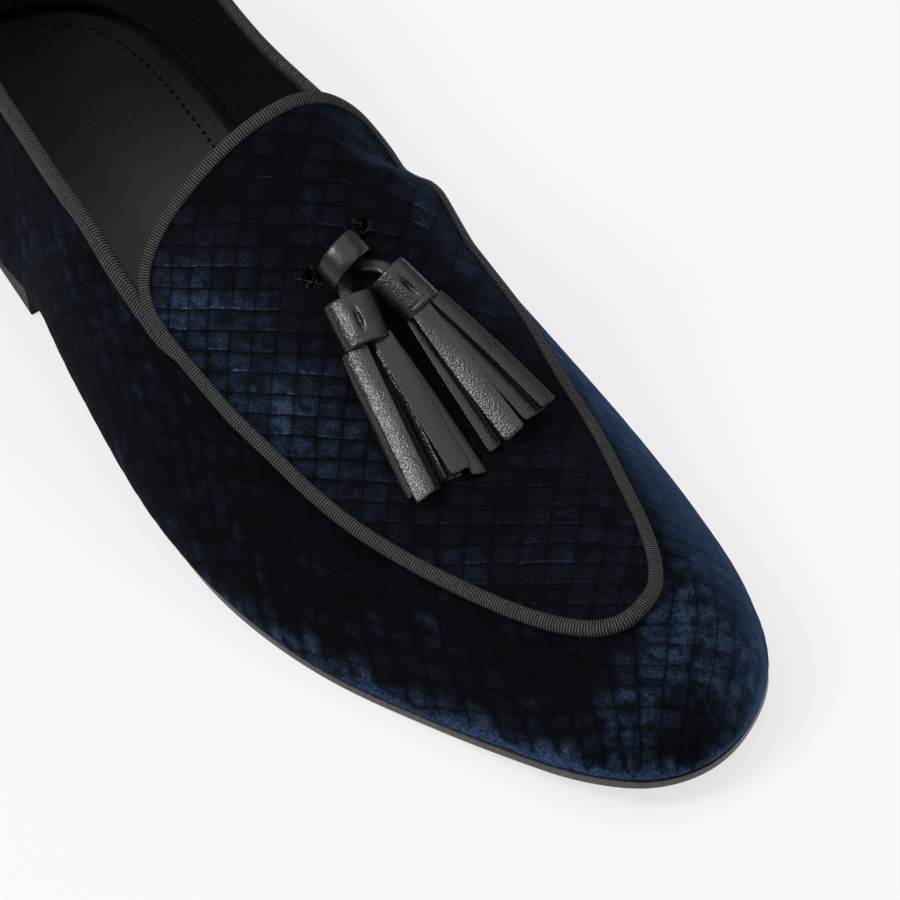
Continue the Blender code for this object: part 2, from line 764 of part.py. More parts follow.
def build_shoe():
    root = bpy.data.objects.new("shoe", None)
    bpy.context.collection.objects.link(root)
    velvet = make_material("velvet", (0.006, 0.011, 0.030), 0.85)
    apron_velvet = make_material("apron_velvet", (0.007, 0.013, 0.036), 0.85)
    ribbon = make_material("ribbon", (0.022, 0.023, 0.024), 0.7)
    collar = make_material("collar_ribbon", (0.022, 0.023, 0.024), 0.7)
    sock = make_material("sock_leather", (0.022, 0.024, 0.024), 0.5)
    sole = make_material("sole_leather", (0.030, 0.029, 0.028), 0.45)
    heel = make_material("heel_leather", (0.024, 0.024, 0.024), 0.5)
    build_outsole(sole, root)
    build_heel(heel, root)
    build_insole(sock, root)
    build_upper(velvet, root)
    build_apron(apron_velvet, root)
    build_apron_ribbon(ribbon, root)
    build_collar_ribbon(collar, root)
    for seed, (key, axis) in enumerate(TASSEL_AXES.items()):
        cap = make_material("cap_leather_" + key, (0.018, 0.018, 0.018), 0.42)
        fringe = make_material("fringe_leather_" + key, (0.020, 0.020, 0.020), 0.42)
        build_cap("tassel_cap_" + key, axis, CAP_WIDTHS[key], cap, root)
        build_fringe("tassel_fringe_" + key, axis, CAP_WIDTHS[key][1], FRINGE_SPREAD[key], seed, fringe, root)
    build_lace("tassel_lace", make_material("lace_leather", (0.018, 0.018, 0.018), 0.42), root)
    build_band("keeper_band", make_material("band_leather", (0.020, 0.020, 0.020), 0.42), root)
    return root


def center_on_origin(root):
    """Stand the shoe with the middle of its box over the origin and its lowest face at height 0."""
    bpy.context.view_layer.update()
    graph = bpy.context.evaluated_depsgraph_get()
    corners = []
    for piece in root.children:
        solid = piece.evaluated_get(graph).to_mesh()
        corners += [tuple(vert.co) for vert in solid.vertices]
    corners = np.array(corners)
    low = corners.min(0)
    high = corners.max(0)
    root.location = (-(low[0] + high[0]) / 2, -(low[1] + high[1]) / 2, -low[2])


for old in list(bpy.data.objects):
    bpy.data.objects.remove(old, do_unlink=True)
center_on_origin(build_shoe())
bpy.context.view_layer.update()
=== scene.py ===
import math

import bmesh
import bpy
import numpy as np
from mathutils import Matrix, Vector


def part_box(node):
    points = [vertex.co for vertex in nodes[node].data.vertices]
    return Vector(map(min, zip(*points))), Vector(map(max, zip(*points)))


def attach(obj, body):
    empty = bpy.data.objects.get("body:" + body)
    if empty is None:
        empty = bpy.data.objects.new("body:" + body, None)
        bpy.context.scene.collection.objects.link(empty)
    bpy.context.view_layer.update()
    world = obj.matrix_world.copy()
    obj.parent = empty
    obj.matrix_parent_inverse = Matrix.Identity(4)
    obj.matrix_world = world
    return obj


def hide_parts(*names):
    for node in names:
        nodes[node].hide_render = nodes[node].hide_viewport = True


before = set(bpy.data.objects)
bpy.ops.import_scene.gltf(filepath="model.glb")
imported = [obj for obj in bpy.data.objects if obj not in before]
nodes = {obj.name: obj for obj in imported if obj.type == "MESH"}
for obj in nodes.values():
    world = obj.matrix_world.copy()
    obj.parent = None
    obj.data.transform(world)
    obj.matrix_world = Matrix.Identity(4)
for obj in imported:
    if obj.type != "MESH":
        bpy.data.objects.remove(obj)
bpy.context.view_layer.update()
print("frame loaded:", len(nodes), "nodes")

mm = 0.001
medial, lateral = 1, -1

# the last, in millimetres, x from heel to toe, y to the inside of the foot
lastShape = {
    "columns": ("x", "medial", "lateral", "bottom", "ridge", "ridgeSide", "bulge", "power"),
    "rows": (
        (2.0, 25.5, 19.8, 14.0, 105.0, 1.6, 3.6, 1.96),
        (28.0, 32.3, 29.6, 14.0, 107.0, 0.6, 3.6, 1.96),
        (78.0, 27.2, 37.0, 14.0, 111.0, -1.3, 3.8, 1.98),
        (116.0, 26.8, 43.2, 9.0, 96.0, -0.8, 6.1, 1.93),
        (153.0, 33.9, 49.0, 4.6, 73.6, 0.4, 5.8, 1.94),
        (188.0, 40.0, 50.8, 3.0, 53.7, 2.6, 3.2, 2.08),
        (216.0, 41.4, 46.3, 3.0, 42.2, 4.2, 2.0, 2.09),
        (246.0, 37.8, 35.8, 4.4, 37.0, 5.2, 1.1, 2.07),
        (272.0, 29.6, 25.5, 7.3, 33.4, 4.5, 0.6, 2.07),
        (289.0, 12.4, 14.5, 10.0, 30.0, 3.1, 0.7, 2.10),
    ),
    "heelPoint": (-8.0, 3.6),
    "toePoint": (293.0, -1.2),
    "ridgeEnds": (28.0, 259.0),
    "ridgeFall": 3.0,
    "bulgeRise": 0.55,
    "ledge": 1.5,       # the sole stands out this far
    "gap": 0.3,
    "crest": (0.88, 0.99),      # where the sides' normals turn into the ridge's
    "steepTo": 0.96,
    "steps": 4000,
}


def monotone(xs, ys):        # a curve that never swings past its points
    xs, ys = np.asarray(xs, float), np.asarray(ys, float)
    step = np.diff(xs)
    rise = np.diff(ys) / step
    slope = np.zeros(len(xs))
    slope[0], slope[-1] = rise[0], rise[-1]
    for i in range(1, len(xs) - 1):
        if rise[i - 1] * rise[i] > 0:
            before, after = 2 * step[i] + step[i - 1], step[i] + 2 * step[i - 1]
            slope[i] = (before + after) / (before / rise[i - 1] + after / rise[i])

    def value(q):
        q = np.clip(np.asarray(q, float), xs[0], xs[-1])
        i = np.clip(np.searchsorted(xs, q, side="right") - 1, 0, len(step) - 1)
        t = (q - xs[i]) / step[i]
        start = (1 + 2 * t) * (1 - t) ** 2 * ys[i] + t * (1 - t) ** 2 * step[i] * slope[i]
        return start + t * t * (3 - 2 * t) * ys[i + 1] + t * t * (t - 1) * step[i] * slope[i + 1]

    return value


def lathBend(points, step, rows):        # how a thin lath bends at the points it runs through
    count = len(points)
    matrix, right = np.eye(count), np.zeros_like(points)
    for i in rows:
        after = (i + 1) % count
        matrix[i, i - 1], matrix[i, i], matrix[i, after] = step[i - 1], 2 * (step[i - 1] + step[i]), step[i]
        right[i] = 6 * ((points[after] - points[i]) / step[i] - (points[i] - points[i - 1]) / step[i - 1])
    return np.linalg.solve(matrix, right)


def lathBetween(points, bend, i, after, step, left, gone):
    cubic = (bend[i] * left ** 3 + bend[after] * gone ** 3) / (6 * step)
    return (cubic + (points[i] / step - bend[i] * step / 6) * left
            + (points[after] / step - bend[after] * step / 6) * gone)


def bentLath(xs, ys):        # a lath from end to end
    xs, ys = np.asarray(xs, float), np.asarray(ys, float)
    step = np.diff(xs)
    bend = lathBend(ys, step, range(1, len(xs) - 1))

    def value(q):
        q = np.clip(np.asarray(q, float), xs[0], xs[-1])
        i = np.clip(np.searchsorted(xs, q, side="right") - 1, 0, len(step) - 1)
        return lathBetween(ys, bend, i, i + 1, step[i], xs[i + 1] - q, q - xs[i])

    return value


def closedLath(points):      # a lath bent into a closed ring, in plan
    points = np.asarray(points, float)
    count = len(points)
    step = np.linalg.norm(np.roll(points, -1, 0) - points, axis=1)
    knots = np.concatenate([[0.0], np.cumsum(step)])
    bend = lathBend(points, step, range(count))

    def value(t):
        place = np.mod(np.asarray(t, float), 1.0) * knots[-1]
        i = np.clip(np.searchsorted(knots, place, side="right") - 1, 0, count - 1)
        spans = (part[..., None] for part in (step[i], knots[i + 1] - place, place - knots[i]))
        return lathBetween(points, bend, i, (i + 1) % count, *spans)

    return value


lastRows = dict(zip(lastShape["columns"], np.array(lastShape["rows"]).T))
lastX = np.array([lastShape["heelPoint"][0], *lastRows["x"], lastShape["toePoint"][0]])


def alongLast(name, curve=monotone, fall=0.0):
    values = lastRows[name]
    return curve(lastX, [values[0] - fall, *values, values[-1] - fall])


bottomHeight = alongLast("bottom")
ridgeHeight = alongLast("ridge", bentLath, lastShape["ridgeFall"])
ridgeSide = alongLast("ridgeSide")
sideBulge = alongLast("bulge")
sectionPower = alongLast("power")
plan = closedLath([lastShape["heelPoint"], *zip(lastRows["x"], lastRows["medial"]), lastShape["toePoint"],
                   *list(zip(lastRows["x"], -lastRows["lateral"]))[::-1]])
planT = np.linspace(0, 1, lastShape["steps"], endpoint=False)
planX = plan(planT)[:, 0]
toeT, heelT = planT[planX.argmax()], planT[planX.argmin()]
heelT = heelT - (heelT > 0.5)
heelX, toeX = float(plan(heelT)[0]), float(plan(toeT)[0])


def placeOnPlan(x, side):
    t = np.linspace(heelT if side == medial else heelT + 1, toeT, lastShape["steps"])
    return np.interp(x, plan(t)[:, 0], t)


def ridgeX(x):
    tail, tip = lastShape["ridgeEnds"]
    front, rear = 2 * tip - toeX, 2 * tail - heelX
    ahead = np.clip((x - front) / (toeX - front), 0, 1)
    behind = np.clip((rear - x) / (rear - heelX), 0, 1)
    drawn = np.where(x > front, front + (tip - front) * (2 * ahead - ahead ** 2), x)
    return np.where(x < rear, rear - (rear - tail) * (2 * behind - behind ** 2), drawn)


def skin(t, v):      # outer face: t round the plan, v from feather line to ridge
    t, v = np.broadcast_arrays(np.asarray(t, float), np.asarray(v, float))
    foot = plan(t)
    x, y = foot[..., 0], foot[..., 1]
    topX = ridgeX(x)
    acrossX, acrossY = topX - x, ridgeSide(topX) - y
    angle = v * math.pi / 2
    power = sectionPower(x)
    rise = np.sin(angle) ** (2 / power)
    swell = sideBulge(x) * np.sin(math.pi * rise ** lastShape["bulgeRise"])
    share = 1 - np.cos(angle) ** (2 / power) - swell / (np.hypot(acrossX, acrossY) + 1e-9)
    low = bottomHeight(x)
    height = low + (ridgeHeight(topX) - low) * rise
    return np.stack([x + acrossX * share, y + acrossY * share, height], -1)


def unit(vectors):
    return vectors / (np.linalg.norm(vectors, axis=-1, keepdims=True) + 1e-12)


def smoothStep(value, start, end):
    t = np.clip((value - start) / (end - start), 0, 1)
    return t * t * (3 - 2 * t)


def fadesBy(value, end):
    return 1 - smoothStep(value, 0.0, end)


def skinNormal(t, v):
    t, v = np.broadcast_arrays(np.asarray(t, float), np.asarray(v, float))
    small, top = 1e-4, ridgeX(plan(t)[..., 0])
    low = np.clip(v, small, lastShape["steepTo"])
    upward = skin(t, low + small) - skin(t, low - small)
    onward = skin(t + small, low) - skin(t - small, low)
    side = unit(np.cross(upward, onward))
    slope = ridgeHeight(top + 0.5) - ridgeHeight(top - 0.5)
    crest = unit(np.stack([-slope, np.zeros_like(slope), np.ones_like(slope)], -1))
    return unit(side + (crest - side) * smoothStep(v, *lastShape["crest"])[..., None])


def lifted(t, v, lift):
    return skin(t, v) + skinNormal(t, v) * np.broadcast_to(lift, np.shape(t))[..., None]


def planNormal(t):
    along = plan(t + 1e-4) - plan(t - 1e-4)
    return unit(np.stack([-along[..., 1], along[..., 0]], -1))


# the part's own frame is centred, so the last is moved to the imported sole
soleOutline = plan(planT) + planNormal(planT) * lastShape["ledge"]
_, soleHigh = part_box("outsole")
shift = np.array([*(np.array(soleHigh[:2]) / mm - soleOutline.max(0)), 0.0])


def toRow(points):
    return (np.asarray(points) + shift) * mm


def lengthsAlong(points):
    return np.concatenate([[0.0], np.cumsum(np.linalg.norm(np.diff(points, axis=0), axis=1))])


def atLengths(wanted, gone, points):
    return np.stack([np.interp(wanted, gone, points[:, axis]) for axis in range(points.shape[1])], -1)


# camera at the photograph's angle
cameraSetup = {"azimuth": 56.84, "elevation": 41.8, "roll": -1.72, "distance": 1000.0,
               "lens": 181.4, "sensor": 36, "target": (192.3, 4.15, 20.0)}


def makeCamera(setup):
    az, el, roll = (math.radians(setup[key]) for key in ("azimuth", "elevation", "roll"))
    back = Vector((math.sin(az) * math.cos(el), -math.cos(az) * math.cos(el), math.sin(el)))
    flat = Vector((math.cos(az), math.sin(az), 0))
    upright = back.cross(flat)
    right = flat * math.cos(roll) + upright * math.sin(roll)
    up = upright * math.cos(roll) - flat * math.sin(roll)
    data = bpy.data.cameras.new("camera")
    data.lens, data.sensor_width = setup["lens"], setup["sensor"]
    camera = bpy.data.objects.new("camera", data)
    place = Vector(toRow(setup["target"])) + back * setup["distance"] * mm
    camera.matrix_world = Matrix.Translation(place) @ Matrix((right, up, back)).transposed().to_4x4()
    bpy.context.scene.collection.objects.link(camera)
    bpy.context.scene.camera = camera


makeCamera(cameraSetup)
print("camera placed")


# lines on the last: collar edge and apron edge
collarLine = {
    "x": (-8.0, 22.0, 72.0, 112.0, 130.0, 145.0, 153.0),
    lateral: (65.5, 62.5, 59.2, 57.1, 52.6, 48.5, 45.8),
    medial: (65.5, 62.0, 56.0, 56.0, 58.2, 60.0, 59.8),
    "throat": (150.0, 162.0),
}
apronLine = {
    "x": (137.2, 137.6, 138.8, 141.6, 147.5, 160.0, 175.5, 188.0,
          206.0, 223.5, 240.0, 256.0, 273.0, 283.0, 290.5, 293.0),
    lateral: (0.600, 0.537, 0.484, 0.446, 0.429, 0.441, 0.454, 0.473,
              0.489, 0.510, 0.530, 0.559, 0.622, 0.689, 0.768, 0.820),
    medial: (0.740, 0.690, 0.650, 0.620, 0.590, 0.580, 0.597, 0.609,
             0.670, 0.714, 0.780, 0.828, 0.865, 0.872, 0.850, 0.820),
    "tongueLift": 1.0, "sewnFrom": (154.0, 170.0),
    # on the inner side the tongue lies closer, and the vamp swells where it is sewn on
    "settleX": (137.0, 144.5, 149.0, 151.5, 154.0, 157.0, 161.5, 169.5),
    "settle": (-0.6, -1.4, -2.2, -1.1, 0.7, 1.3, 0.8, 0.0),
    "settleFade": (0.74, 0.95),
    "thick": 1.5,
}
collarHeights = {side: monotone(collarLine["x"], collarLine[side]) for side in (medial, lateral)}
apronEdges = {side: monotone(apronLine["x"], apronLine[side]) for side in (medial, lateral)}


def collarShare(x, side):
    x = np.minimum(x, collarLine["throat"][0])
    low = bottomHeight(x)
    rise = (collarHeights[side](x) - low) / (ridgeHeight(ridgeX(x)) - low)
    return np.arcsin(np.clip(rise, 0, 1) ** (sectionPower(x) / 2)) * 2 / math.pi


def apronLift(x):
    return lastShape["gap"] + apronLine["tongueLift"] * (1 - smoothStep(x, *apronLine["sewnFrom"]))


def bySide(side, onMedial, onLateral):
    return np.where(side == medial, onMedial, onLateral)


def collarTop(x, side):
    return bySide(side, collarShare(x, medial), collarShare(x, lateral))


def apronEdge(x, side):
    return bySide(side, apronEdges[medial](x), apronEdges[lateral](x))


def settlePush(x):
    return np.interp(x, apronLine["settleX"], apronLine["settle"])


def settle(t, share, side):
    push = bySide(side, settlePush(plan(t)[..., 0]), 0.0)
    return push * (1 - smoothStep(share, *apronLine["settleFade"]))


# meshes: flat grids of quads laid on the shoe
def layGrid(name, columns, rows, place, looks, fabric=None, crushAndSheen=None,
            inside=None, inward=False, merge=0.002):
    bm = bmesh.new()
    bmesh.ops.create_grid(bm, x_segments=columns, y_segments=rows, size=0.5)
    flat = np.array([vert.co[:2] for vert in bm.verts]) + 0.5
    u, v = flat.T
    for vert, point in zip(bm.verts, toRow(place(u, v))):
        vert.co = point
    if fabric:
        weave = fabric(u, v)
        layer = bm.loops.layers.uv.new("fabric")
        for face in bm.faces:
            for loop in face.loops:
                loop[layer].uv = weave[loop.vert.index]
    # per-point crushed nap together with painted sheen and painted light, kept as a mesh attribute
    if crushAndSheen:
        layer = bm.verts.layers.float.new("crushAndSheen")
        for vert, value in zip(bm.verts, crushAndSheen(u, v)):
            vert[layer] = value
    bmesh.ops.remove_doubles(bm, verts=bm.verts[:], dist=merge * mm)
    bmesh.ops.dissolve_degenerate(bm, edges=bm.edges[:], dist=1e-7)
    bm.normal_update()
    if inside is None:
        bmesh.ops.recalc_face_normals(bm, faces=bm.faces[:])
    else:
        heart = Vector(toRow(inside))
        facing = sum(face.normal.dot(face.calc_center_median() - heart) * face.calc_area()
                     for face in bm.faces)
        if (facing < 0) != inward:
            bmesh.ops.reverse_faces(bm, faces=bm.faces[:])
    return finishMesh(name, bm, looks)


def finishMesh(name, bm, looks):
    mesh = bpy.data.meshes.new(name)
    bm.to_mesh(mesh)
    bm.free()
    for look in looks:
        mesh.materials.append(look)
    mesh.shade_smooth()
    piece = bpy.data.objects.new(name, mesh)
    bpy.context.scene.collection.objects.link(piece)
    return piece


def thicken(piece, thickness, offset=-1.0, innerLook=0):
    wall = piece.modifiers.new("wall", "SOLIDIFY")
    wall.thickness, wall.offset = thickness * mm, offset
    wall.material_offset, wall.material_offset_rim = innerLook, innerLook
    return piece


def roundEdges(piece, width, segments=3, angle=40):
    edge = piece.modifiers.new("edge", "BEVEL")
    edge.width, edge.segments = width * mm, segments
    edge.limit_method, edge.angle_limit = "ANGLE", math.radians(angle)
    return piece


def keep(piece, slot, *replaced):
    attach(piece, "root")
    if replaced:
        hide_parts(*replaced)
    return piece


def innerPlaces(share):      # along the inner side from heel to toe
    inner = heelT + share * (toeT - heelT)
    x = np.where(share > 1 - 1e-9, toeX, np.where(share < 1e-9, heelX, plan(inner)[:, 0]))
    return inner, x


def ringPlaces(u):       # u round the shoe: heel, inner side, toe, outer side, heel
    inner, x = innerPlaces(1 - np.abs(1 - 2 * u))
    side = np.where(u < 0.5, medial, lateral)
    return bySide(side, inner, placeOnPlan(x, lateral)), x, side


def openRing(steps, ends):       # the ring behind its inner and its outer end, from one to the other
    t, x, side = ringPlaces(np.linspace(0, 1, steps))
    free = x <= bySide(side, *ends)
    order = np.roll(np.arange(steps), -int(np.argmin(free)))
    order = order[free[order]]
    return t[order], x[order], side[order]


def roundedSquare(turns, power):
    c, s = np.cos(2 * math.pi * turns), np.sin(2 * math.pi * turns)
    reach = (np.abs(c) ** power + np.abs(s) ** power) ** (-1 / power)
    return c * reach, s * reach


# materials
def newLook(name, **sockets):
    look = bpy.data.materials.new(name)
    look.use_nodes = True
    shader = look.node_tree.nodes["Principled BSDF"]
    for socket, value in sockets.items():
        shader.inputs[socket.replace("_", " ")].default_value = value
    return look, shader


def isSocket(source):
    return isinstance(source, bpy.types.NodeSocket)


def addNode(kind, links, tree=None, **settings):     # joins the tree of the first socket linked to it
    tree = tree or next(source for source in links.values() if isSocket(source)).id_data
    node = tree.nodes.new(kind)
    for key, value in settings.items():
        setattr(node, key, value)
    for socket, source in links.items():
        if isSocket(source):
            tree.links.new(source, node.inputs[socket])
        else:
            node.inputs[socket].default_value = source
    return node


def clothPlace(shader):
    return addNode("ShaderNodeUVMap", {}, shader.id_data, uv_map="fabric").outputs[0]


def shoePlace(shader):
    return addNode("ShaderNodeTexCoord", {}, shader.id_data).outputs["Object"]


def feed(shader, socket, source):
    shader.id_data.links.new(source, shader.inputs[socket])


def mathNode(operation, *values):
    return addNode("ShaderNodeMath", dict(enumerate(values)), operation=operation).outputs[0]


def times(first, *others):
    for other in others:
        first = mathNode("MULTIPLY", first, other)
    return first


def timesPlus(value, factor, added):
    return mathNode("MULTIPLY_ADD", value, factor, added)


def minus(first, second):
    return mathNode("SUBTRACT", first, second)


def vectorMath(operation, *values):
    return addNode("ShaderNodeVectorMath", dict(enumerate(values)), operation=operation).outputs[0]


def coordinate(vector, number):
    return addNode("ShaderNodeSeparateXYZ", {0: vector}).outputs[number]


def ramp(value, low, high, start=0.0, end=1.0):
    return addNode("ShaderNodeMapRange", {0: value, 1: low, 2: high, 3: start, 4: end},
                   interpolation_type="SMOOTHSTEP").outputs[0]


def mixColor(factor, first, second):
    return addNode("ShaderNodeMix", {0: factor, 6: first, 7: second}, data_type="RGBA").outputs[2]


def noise(vector, scale, detail=2.0, roughness=0.5, output=0):
    return addNode("ShaderNodeTexNoise", {"Vector": vector, "Scale": scale, "Detail": detail,
                                          "Roughness": roughness}).outputs[output]


def addBump(shader, height, distance, strength=1.0):
    bump = addNode("ShaderNodeBump", {"Height": height, "Distance": distance, "Strength": strength})
    feed(shader, "Normal", bump.outputs[0])


velvetLook = {
    "deep": (0.0019, 0.0022, 0.0032, 1),
    "soft": (0.0064, 0.0080, 0.0140, 1),
    # colour of crushed nap, also of the painted sheen and painted light the patches lay
    "crushedAndSheen": (0.040, 0.068, 0.132, 1),
    # painted sheen blue, mostly in the band along the sole
    "strongSheen": (0.048, 0.104, 0.218, 1),
    # painted highlight along the lower edges of squares
    "edgeHighlight": (0.070, 0.100, 0.175, 1),
    "groove": (0.0005, 0.0007, 0.0012, 1),
    "sheenTint": (0.15, 0.32, 0.66, 1),
}


def makeVelvet(name, brightness, sheen, spread, tile, line, oval=(0.45, 0.6)):
    look, shader = newLook(name, Roughness=0.95, Specular_IOR_Level=0.05 if tile else 0.03,
                           Sheen_Weight=sheen, Sheen_Roughness=spread, Sheen_Tint=velvetLook["sheenTint"])
    # the squares' lines wander a little; fu runs across a square to the right, fw down
    uv = clothPlace(shader)
    wander = noise(uv, 0.8, 1.0, output=1)
    bent = vectorMath("MULTIPLY_ADD", wander, (0.2, 0.2, 0.0), uv)
    bent = vectorMath("SUBTRACT", bent, (0.1, 0.1, 0.0))
    fu, fw = (mathNode("FRACT", coordinate(bent, number)) for number in (0, 1))
    edgeU, edgeW = (mathNode("MINIMUM", part, minus(1.0, part)) for part in (fu, fw))
    dice = addNode("ShaderNodeTexWhiteNoise", {0: vectorMath("FLOOR", bent)}, noise_dimensions="2D")
    tint = addNode("ShaderNodeSeparateColor", {0: dice.outputs[1]})
    if tile:     # the apron's squares keep their pressed edges
        groove = times(ramp(edgeU, 0.0, 0.08, 0.40, 1.0), ramp(edgeW, 0.0, 0.07))
        body = times(ramp(edgeU, 0.0, 0.30, 0.60, 1.0), ramp(fw, 0.0, 0.45, 0.40, 1.0))
    else:        # elsewhere the pile has closed over them, and the upright lines show most
        groove = ramp(edgeU, 0.0, 0.08, 1 - 2.5 * line, 1.0)
        body = times(*(mathNode("POWER", mathNode("SINE", times(part, math.pi)), power)
                       for part, power in zip((fu, fw), oval)))
    speck = noise(uv, 9.0, 4.0, 0.75)
    dots = ramp(noise(uv, 17.0, 2.0, 0.6), 0.56, 0.72)
    grain = timesPlus(dots, 0.9, ramp(speck, 0.34, 0.70, 0.20, 1.4))
    # worn says how far the nap is turned, with the painted sheen and painted light of the mesh attribute
    # added in; chance which squares show it
    crushAndSheen = addNode("ShaderNodeAttribute", {}, shader.id_data, attribute_name="crushAndSheen").outputs["Fac"]
    wornAndSheen = timesPlus(ramp(noise(uv, 0.55, 3.0, 0.65), 0.46, 0.74), 0.16, crushAndSheen)
    wornAndSheen = times(wornAndSheen, ramp(noise(uv, 1.7, 2.0), 0.30, 0.64, 0.20, 1.30))
    wornAndSheen = mathNode("MINIMUM", wornAndSheen, 0.75)
    drift = ramp(noise(uv, 0.9, 2.0, 0.6), 0.34, 0.66)
    chance = timesPlus(mathNode("POWER", dice.outputs[0], 1.5), 0.45 if tile else 0.20,
                       timesPlus(drift, 0.40 if tile else 0.65, 0.12))
    # painted sheen: where the attribute runs high, mostly in the band along the sole, a sheen blue covers
    # the squares and they vanish
    streaks = minus(noise(uv, 4.0, 3.0, 0.7), 0.5)
    strongSheen = ramp(timesPlus(streaks, 0.9, crushAndSheen), 0.70, 1.45)
    shown = mathNode("MAXIMUM", times(chance, body, groove), times(strongSheen, 0.62))
    lit = times(wornAndSheen, shown, times(grain, brightness))
    if tile:
        own = ramp(tint.outputs[2], 0.1, 0.9, 0.15, 1.25)
    else:
        own = ramp(drift, 0.0, 1.0, 0.10, 0.90)
    plain = times(ramp(speck, 0.35, 0.75), body, own)
    plain = mixColor(plain, velvetLook["deep"], velvetLook["soft"])
    # crushed-nap colour turning to the painted sheen blue where the sheen runs strong
    turned = mixColor(strongSheen, velvetLook["crushedAndSheen"], velvetLook["strongSheen"])
    color = mixColor(lit, plain, turned)
    # a painted highlight shows along the lower edge of some squares
    edgeHighlight = times(ramp(fw, 0.82, 0.88), ramp(fw, 0.97, 0.92),
                   ramp(noise(uv, 6.0, 3.0, 0.7), 0.46, 0.62),
                   ramp(tint.outputs[0], 0.45, 0.9),
                   timesPlus(wornAndSheen, 0.9, 0.12) if tile else 0.03)
    color = mixColor(edgeHighlight, color, velvetLook["edgeHighlight"])
    hidden = ramp(minus(minus(1.0, groove), strongSheen), 0.0, 1.0)
    color = mixColor(times(hidden, line), color, velvetLook["groove"])
    feed(shader, "Base Color", color)
    # each square of the apron lies at its own slight tilt, pinched at the grooves, with the pile over it
    height = 0.0
    if tile:
        tilt = times(minus(tint.outputs[1], 0.5), fu)
        tilt = timesPlus(minus(tint.outputs[2], 0.3), fw, tilt)
        height = timesPlus(groove, 0.4, times(tilt, 0.7))
    addBump(shader, timesPlus(speck, 0.9, height), 0.0004, 0.9)
    return look


ribbonLook = {"dark": (0.0035, 0.0037, 0.0037, 1), "light": (0.140, 0.144, 0.136, 1)}


def makeRibbon(name):
    look, shader = newLook(name, Roughness=0.6, Specular_IOR_Level=0.15)
    uv = clothPlace(shader)
    rib = mathNode("COSINE", times(coordinate(uv, 0), 2 * math.pi))
    fray = noise(uv, 3.0, 3.0, 0.7)
    yarn = noise(vectorMath("MULTIPLY", uv, (1.0, 14.0, 1.0)), 2.0, 2.0, 0.6)
    lit = times(ramp(rib, 0.15, -0.75), ramp(yarn, 0.25, 0.75, 0.35, 1.0),
                ramp(fray, 0.25, 0.7, 0.4, 1.1))
    color = mixColor(lit, ribbonLook["dark"], ribbonLook["light"])
    feed(shader, "Base Color", color)
    addBump(shader, timesPlus(yarn, 0.4, times(rib, -0.3)), 0.00025)
    return look


def makeLeather(name, dark, light, grain, roughness, depth, shine, paintedShade=None):
    look, shader = newLook(name, Specular_IOR_Level=shine)
    place = shoePlace(shader)
    pebbles = addNode("ShaderNodeTexVoronoi", {"Vector": place, "Scale": grain, "Randomness": 0.9},
                      feature="SMOOTH_F1").outputs[0]
    creases = noise(place, grain * 0.55, 3.0, 0.6)
    patch = noise(place, 90.0, 2.0)
    shade = times(ramp(creases, 0.3, 0.7), ramp(patch, 0.3, 0.7, 0.5, 1.0))
    if paintedShade:     # painted shade: darker before the first place, paler past the second
        shade = timesPlus(shade, 0.12, ramp(coordinate(place, 0), *paintedShade, 0.08, 0.88))
    feed(shader, "Base Color", mixColor(shade, (*dark, 1), (*light, 1)))
    gloss = ramp(creases, 0.25, 0.75, roughness - 0.05, roughness + 0.08)
    feed(shader, "Roughness", gloss)
    addBump(shader, timesPlus(creases, 0.12, times(pebbles, -1.0)), depth)
    return look


# brightness, sheen and its spread, pressed squares or not, depth of the lines, fullness of a square
# one velvet in two copies: full sheen on the inner side, little on the outer, which paints shade on the
# outer side
innerVelvet = makeVelvet("innerVelvet", 1.3, 1.0, 0.10, False, 0.16, (0.35, 0.25))
shadedOuterVelvet = makeVelvet("shadedOuterVelvet", 1.3, 0.09, 0.07, False, 0.14, (0.5, 0.40))     # copy with little sheen, so the outer side stays darker: painted shade
apronVelvet = makeVelvet("apronVelvet", 1.15, 0.36, 0.07, True, 0.50)
ribbedRibbon = makeRibbon("ribbedRibbon")
# dark and light colour, grains to the metre, roughness, depth of the grain, shine
tasselLeather = makeLeather("tasselLeather", (0.0035, 0.0036, 0.0036), (0.010, 0.0102, 0.010),
                            2500, 0.27, 0.00009, 0.58)
bandLeather = makeLeather("bandLeather", (0.004, 0.0042, 0.0042), (0.009, 0.0092, 0.0092),
                          3000, 0.30, 0.00004, 0.58)
liningLeather = makeLeather("liningLeather", (0.0032, 0.0036, 0.0034), (0.0072, 0.0078, 0.0074),
                            1500, 0.55, 0.00005, 0.3)
# painted shade: the sock is darker toward the heel, deep inside the shoe
sockLeather = makeLeather("sockLeather", (0.004, 0.0046, 0.0044), (0.062, 0.068, 0.066),
                          1800, 0.60, 0.00004, 0.10, paintedShade=(-0.11, -0.03))
soleLeather = makeLeather("soleLeather", (0.034, 0.031, 0.027), (0.070, 0.064, 0.057),
                          900, 0.40, 0.00004, 0.5)
heelLeather = makeLeather("heelLeather", (0.005, 0.005, 0.005), (0.011, 0.0107, 0.0104),
                          900, 0.50, 0.00004, 0.06)
stitchThread = makeLeather("stitchThread", (0.001, 0.001, 0.001), (0.003, 0.003, 0.003),
                           4000, 0.6, 0.00004, 0.05)
# near-black with no gloss: painted shadow inside the slits
slitShadow = makeLeather("slitShadow", (0.0006, 0.0006, 0.0008), (0.002, 0.002, 0.0026),
                       3000, 0.9, 0.0002, 0.0)
frayThread = makeLeather("frayThread", (0.008, 0.010, 0.020), (0.075, 0.080, 0.105),
                         3000, 0.6, 0.00004, 0.3)
print("materials made")


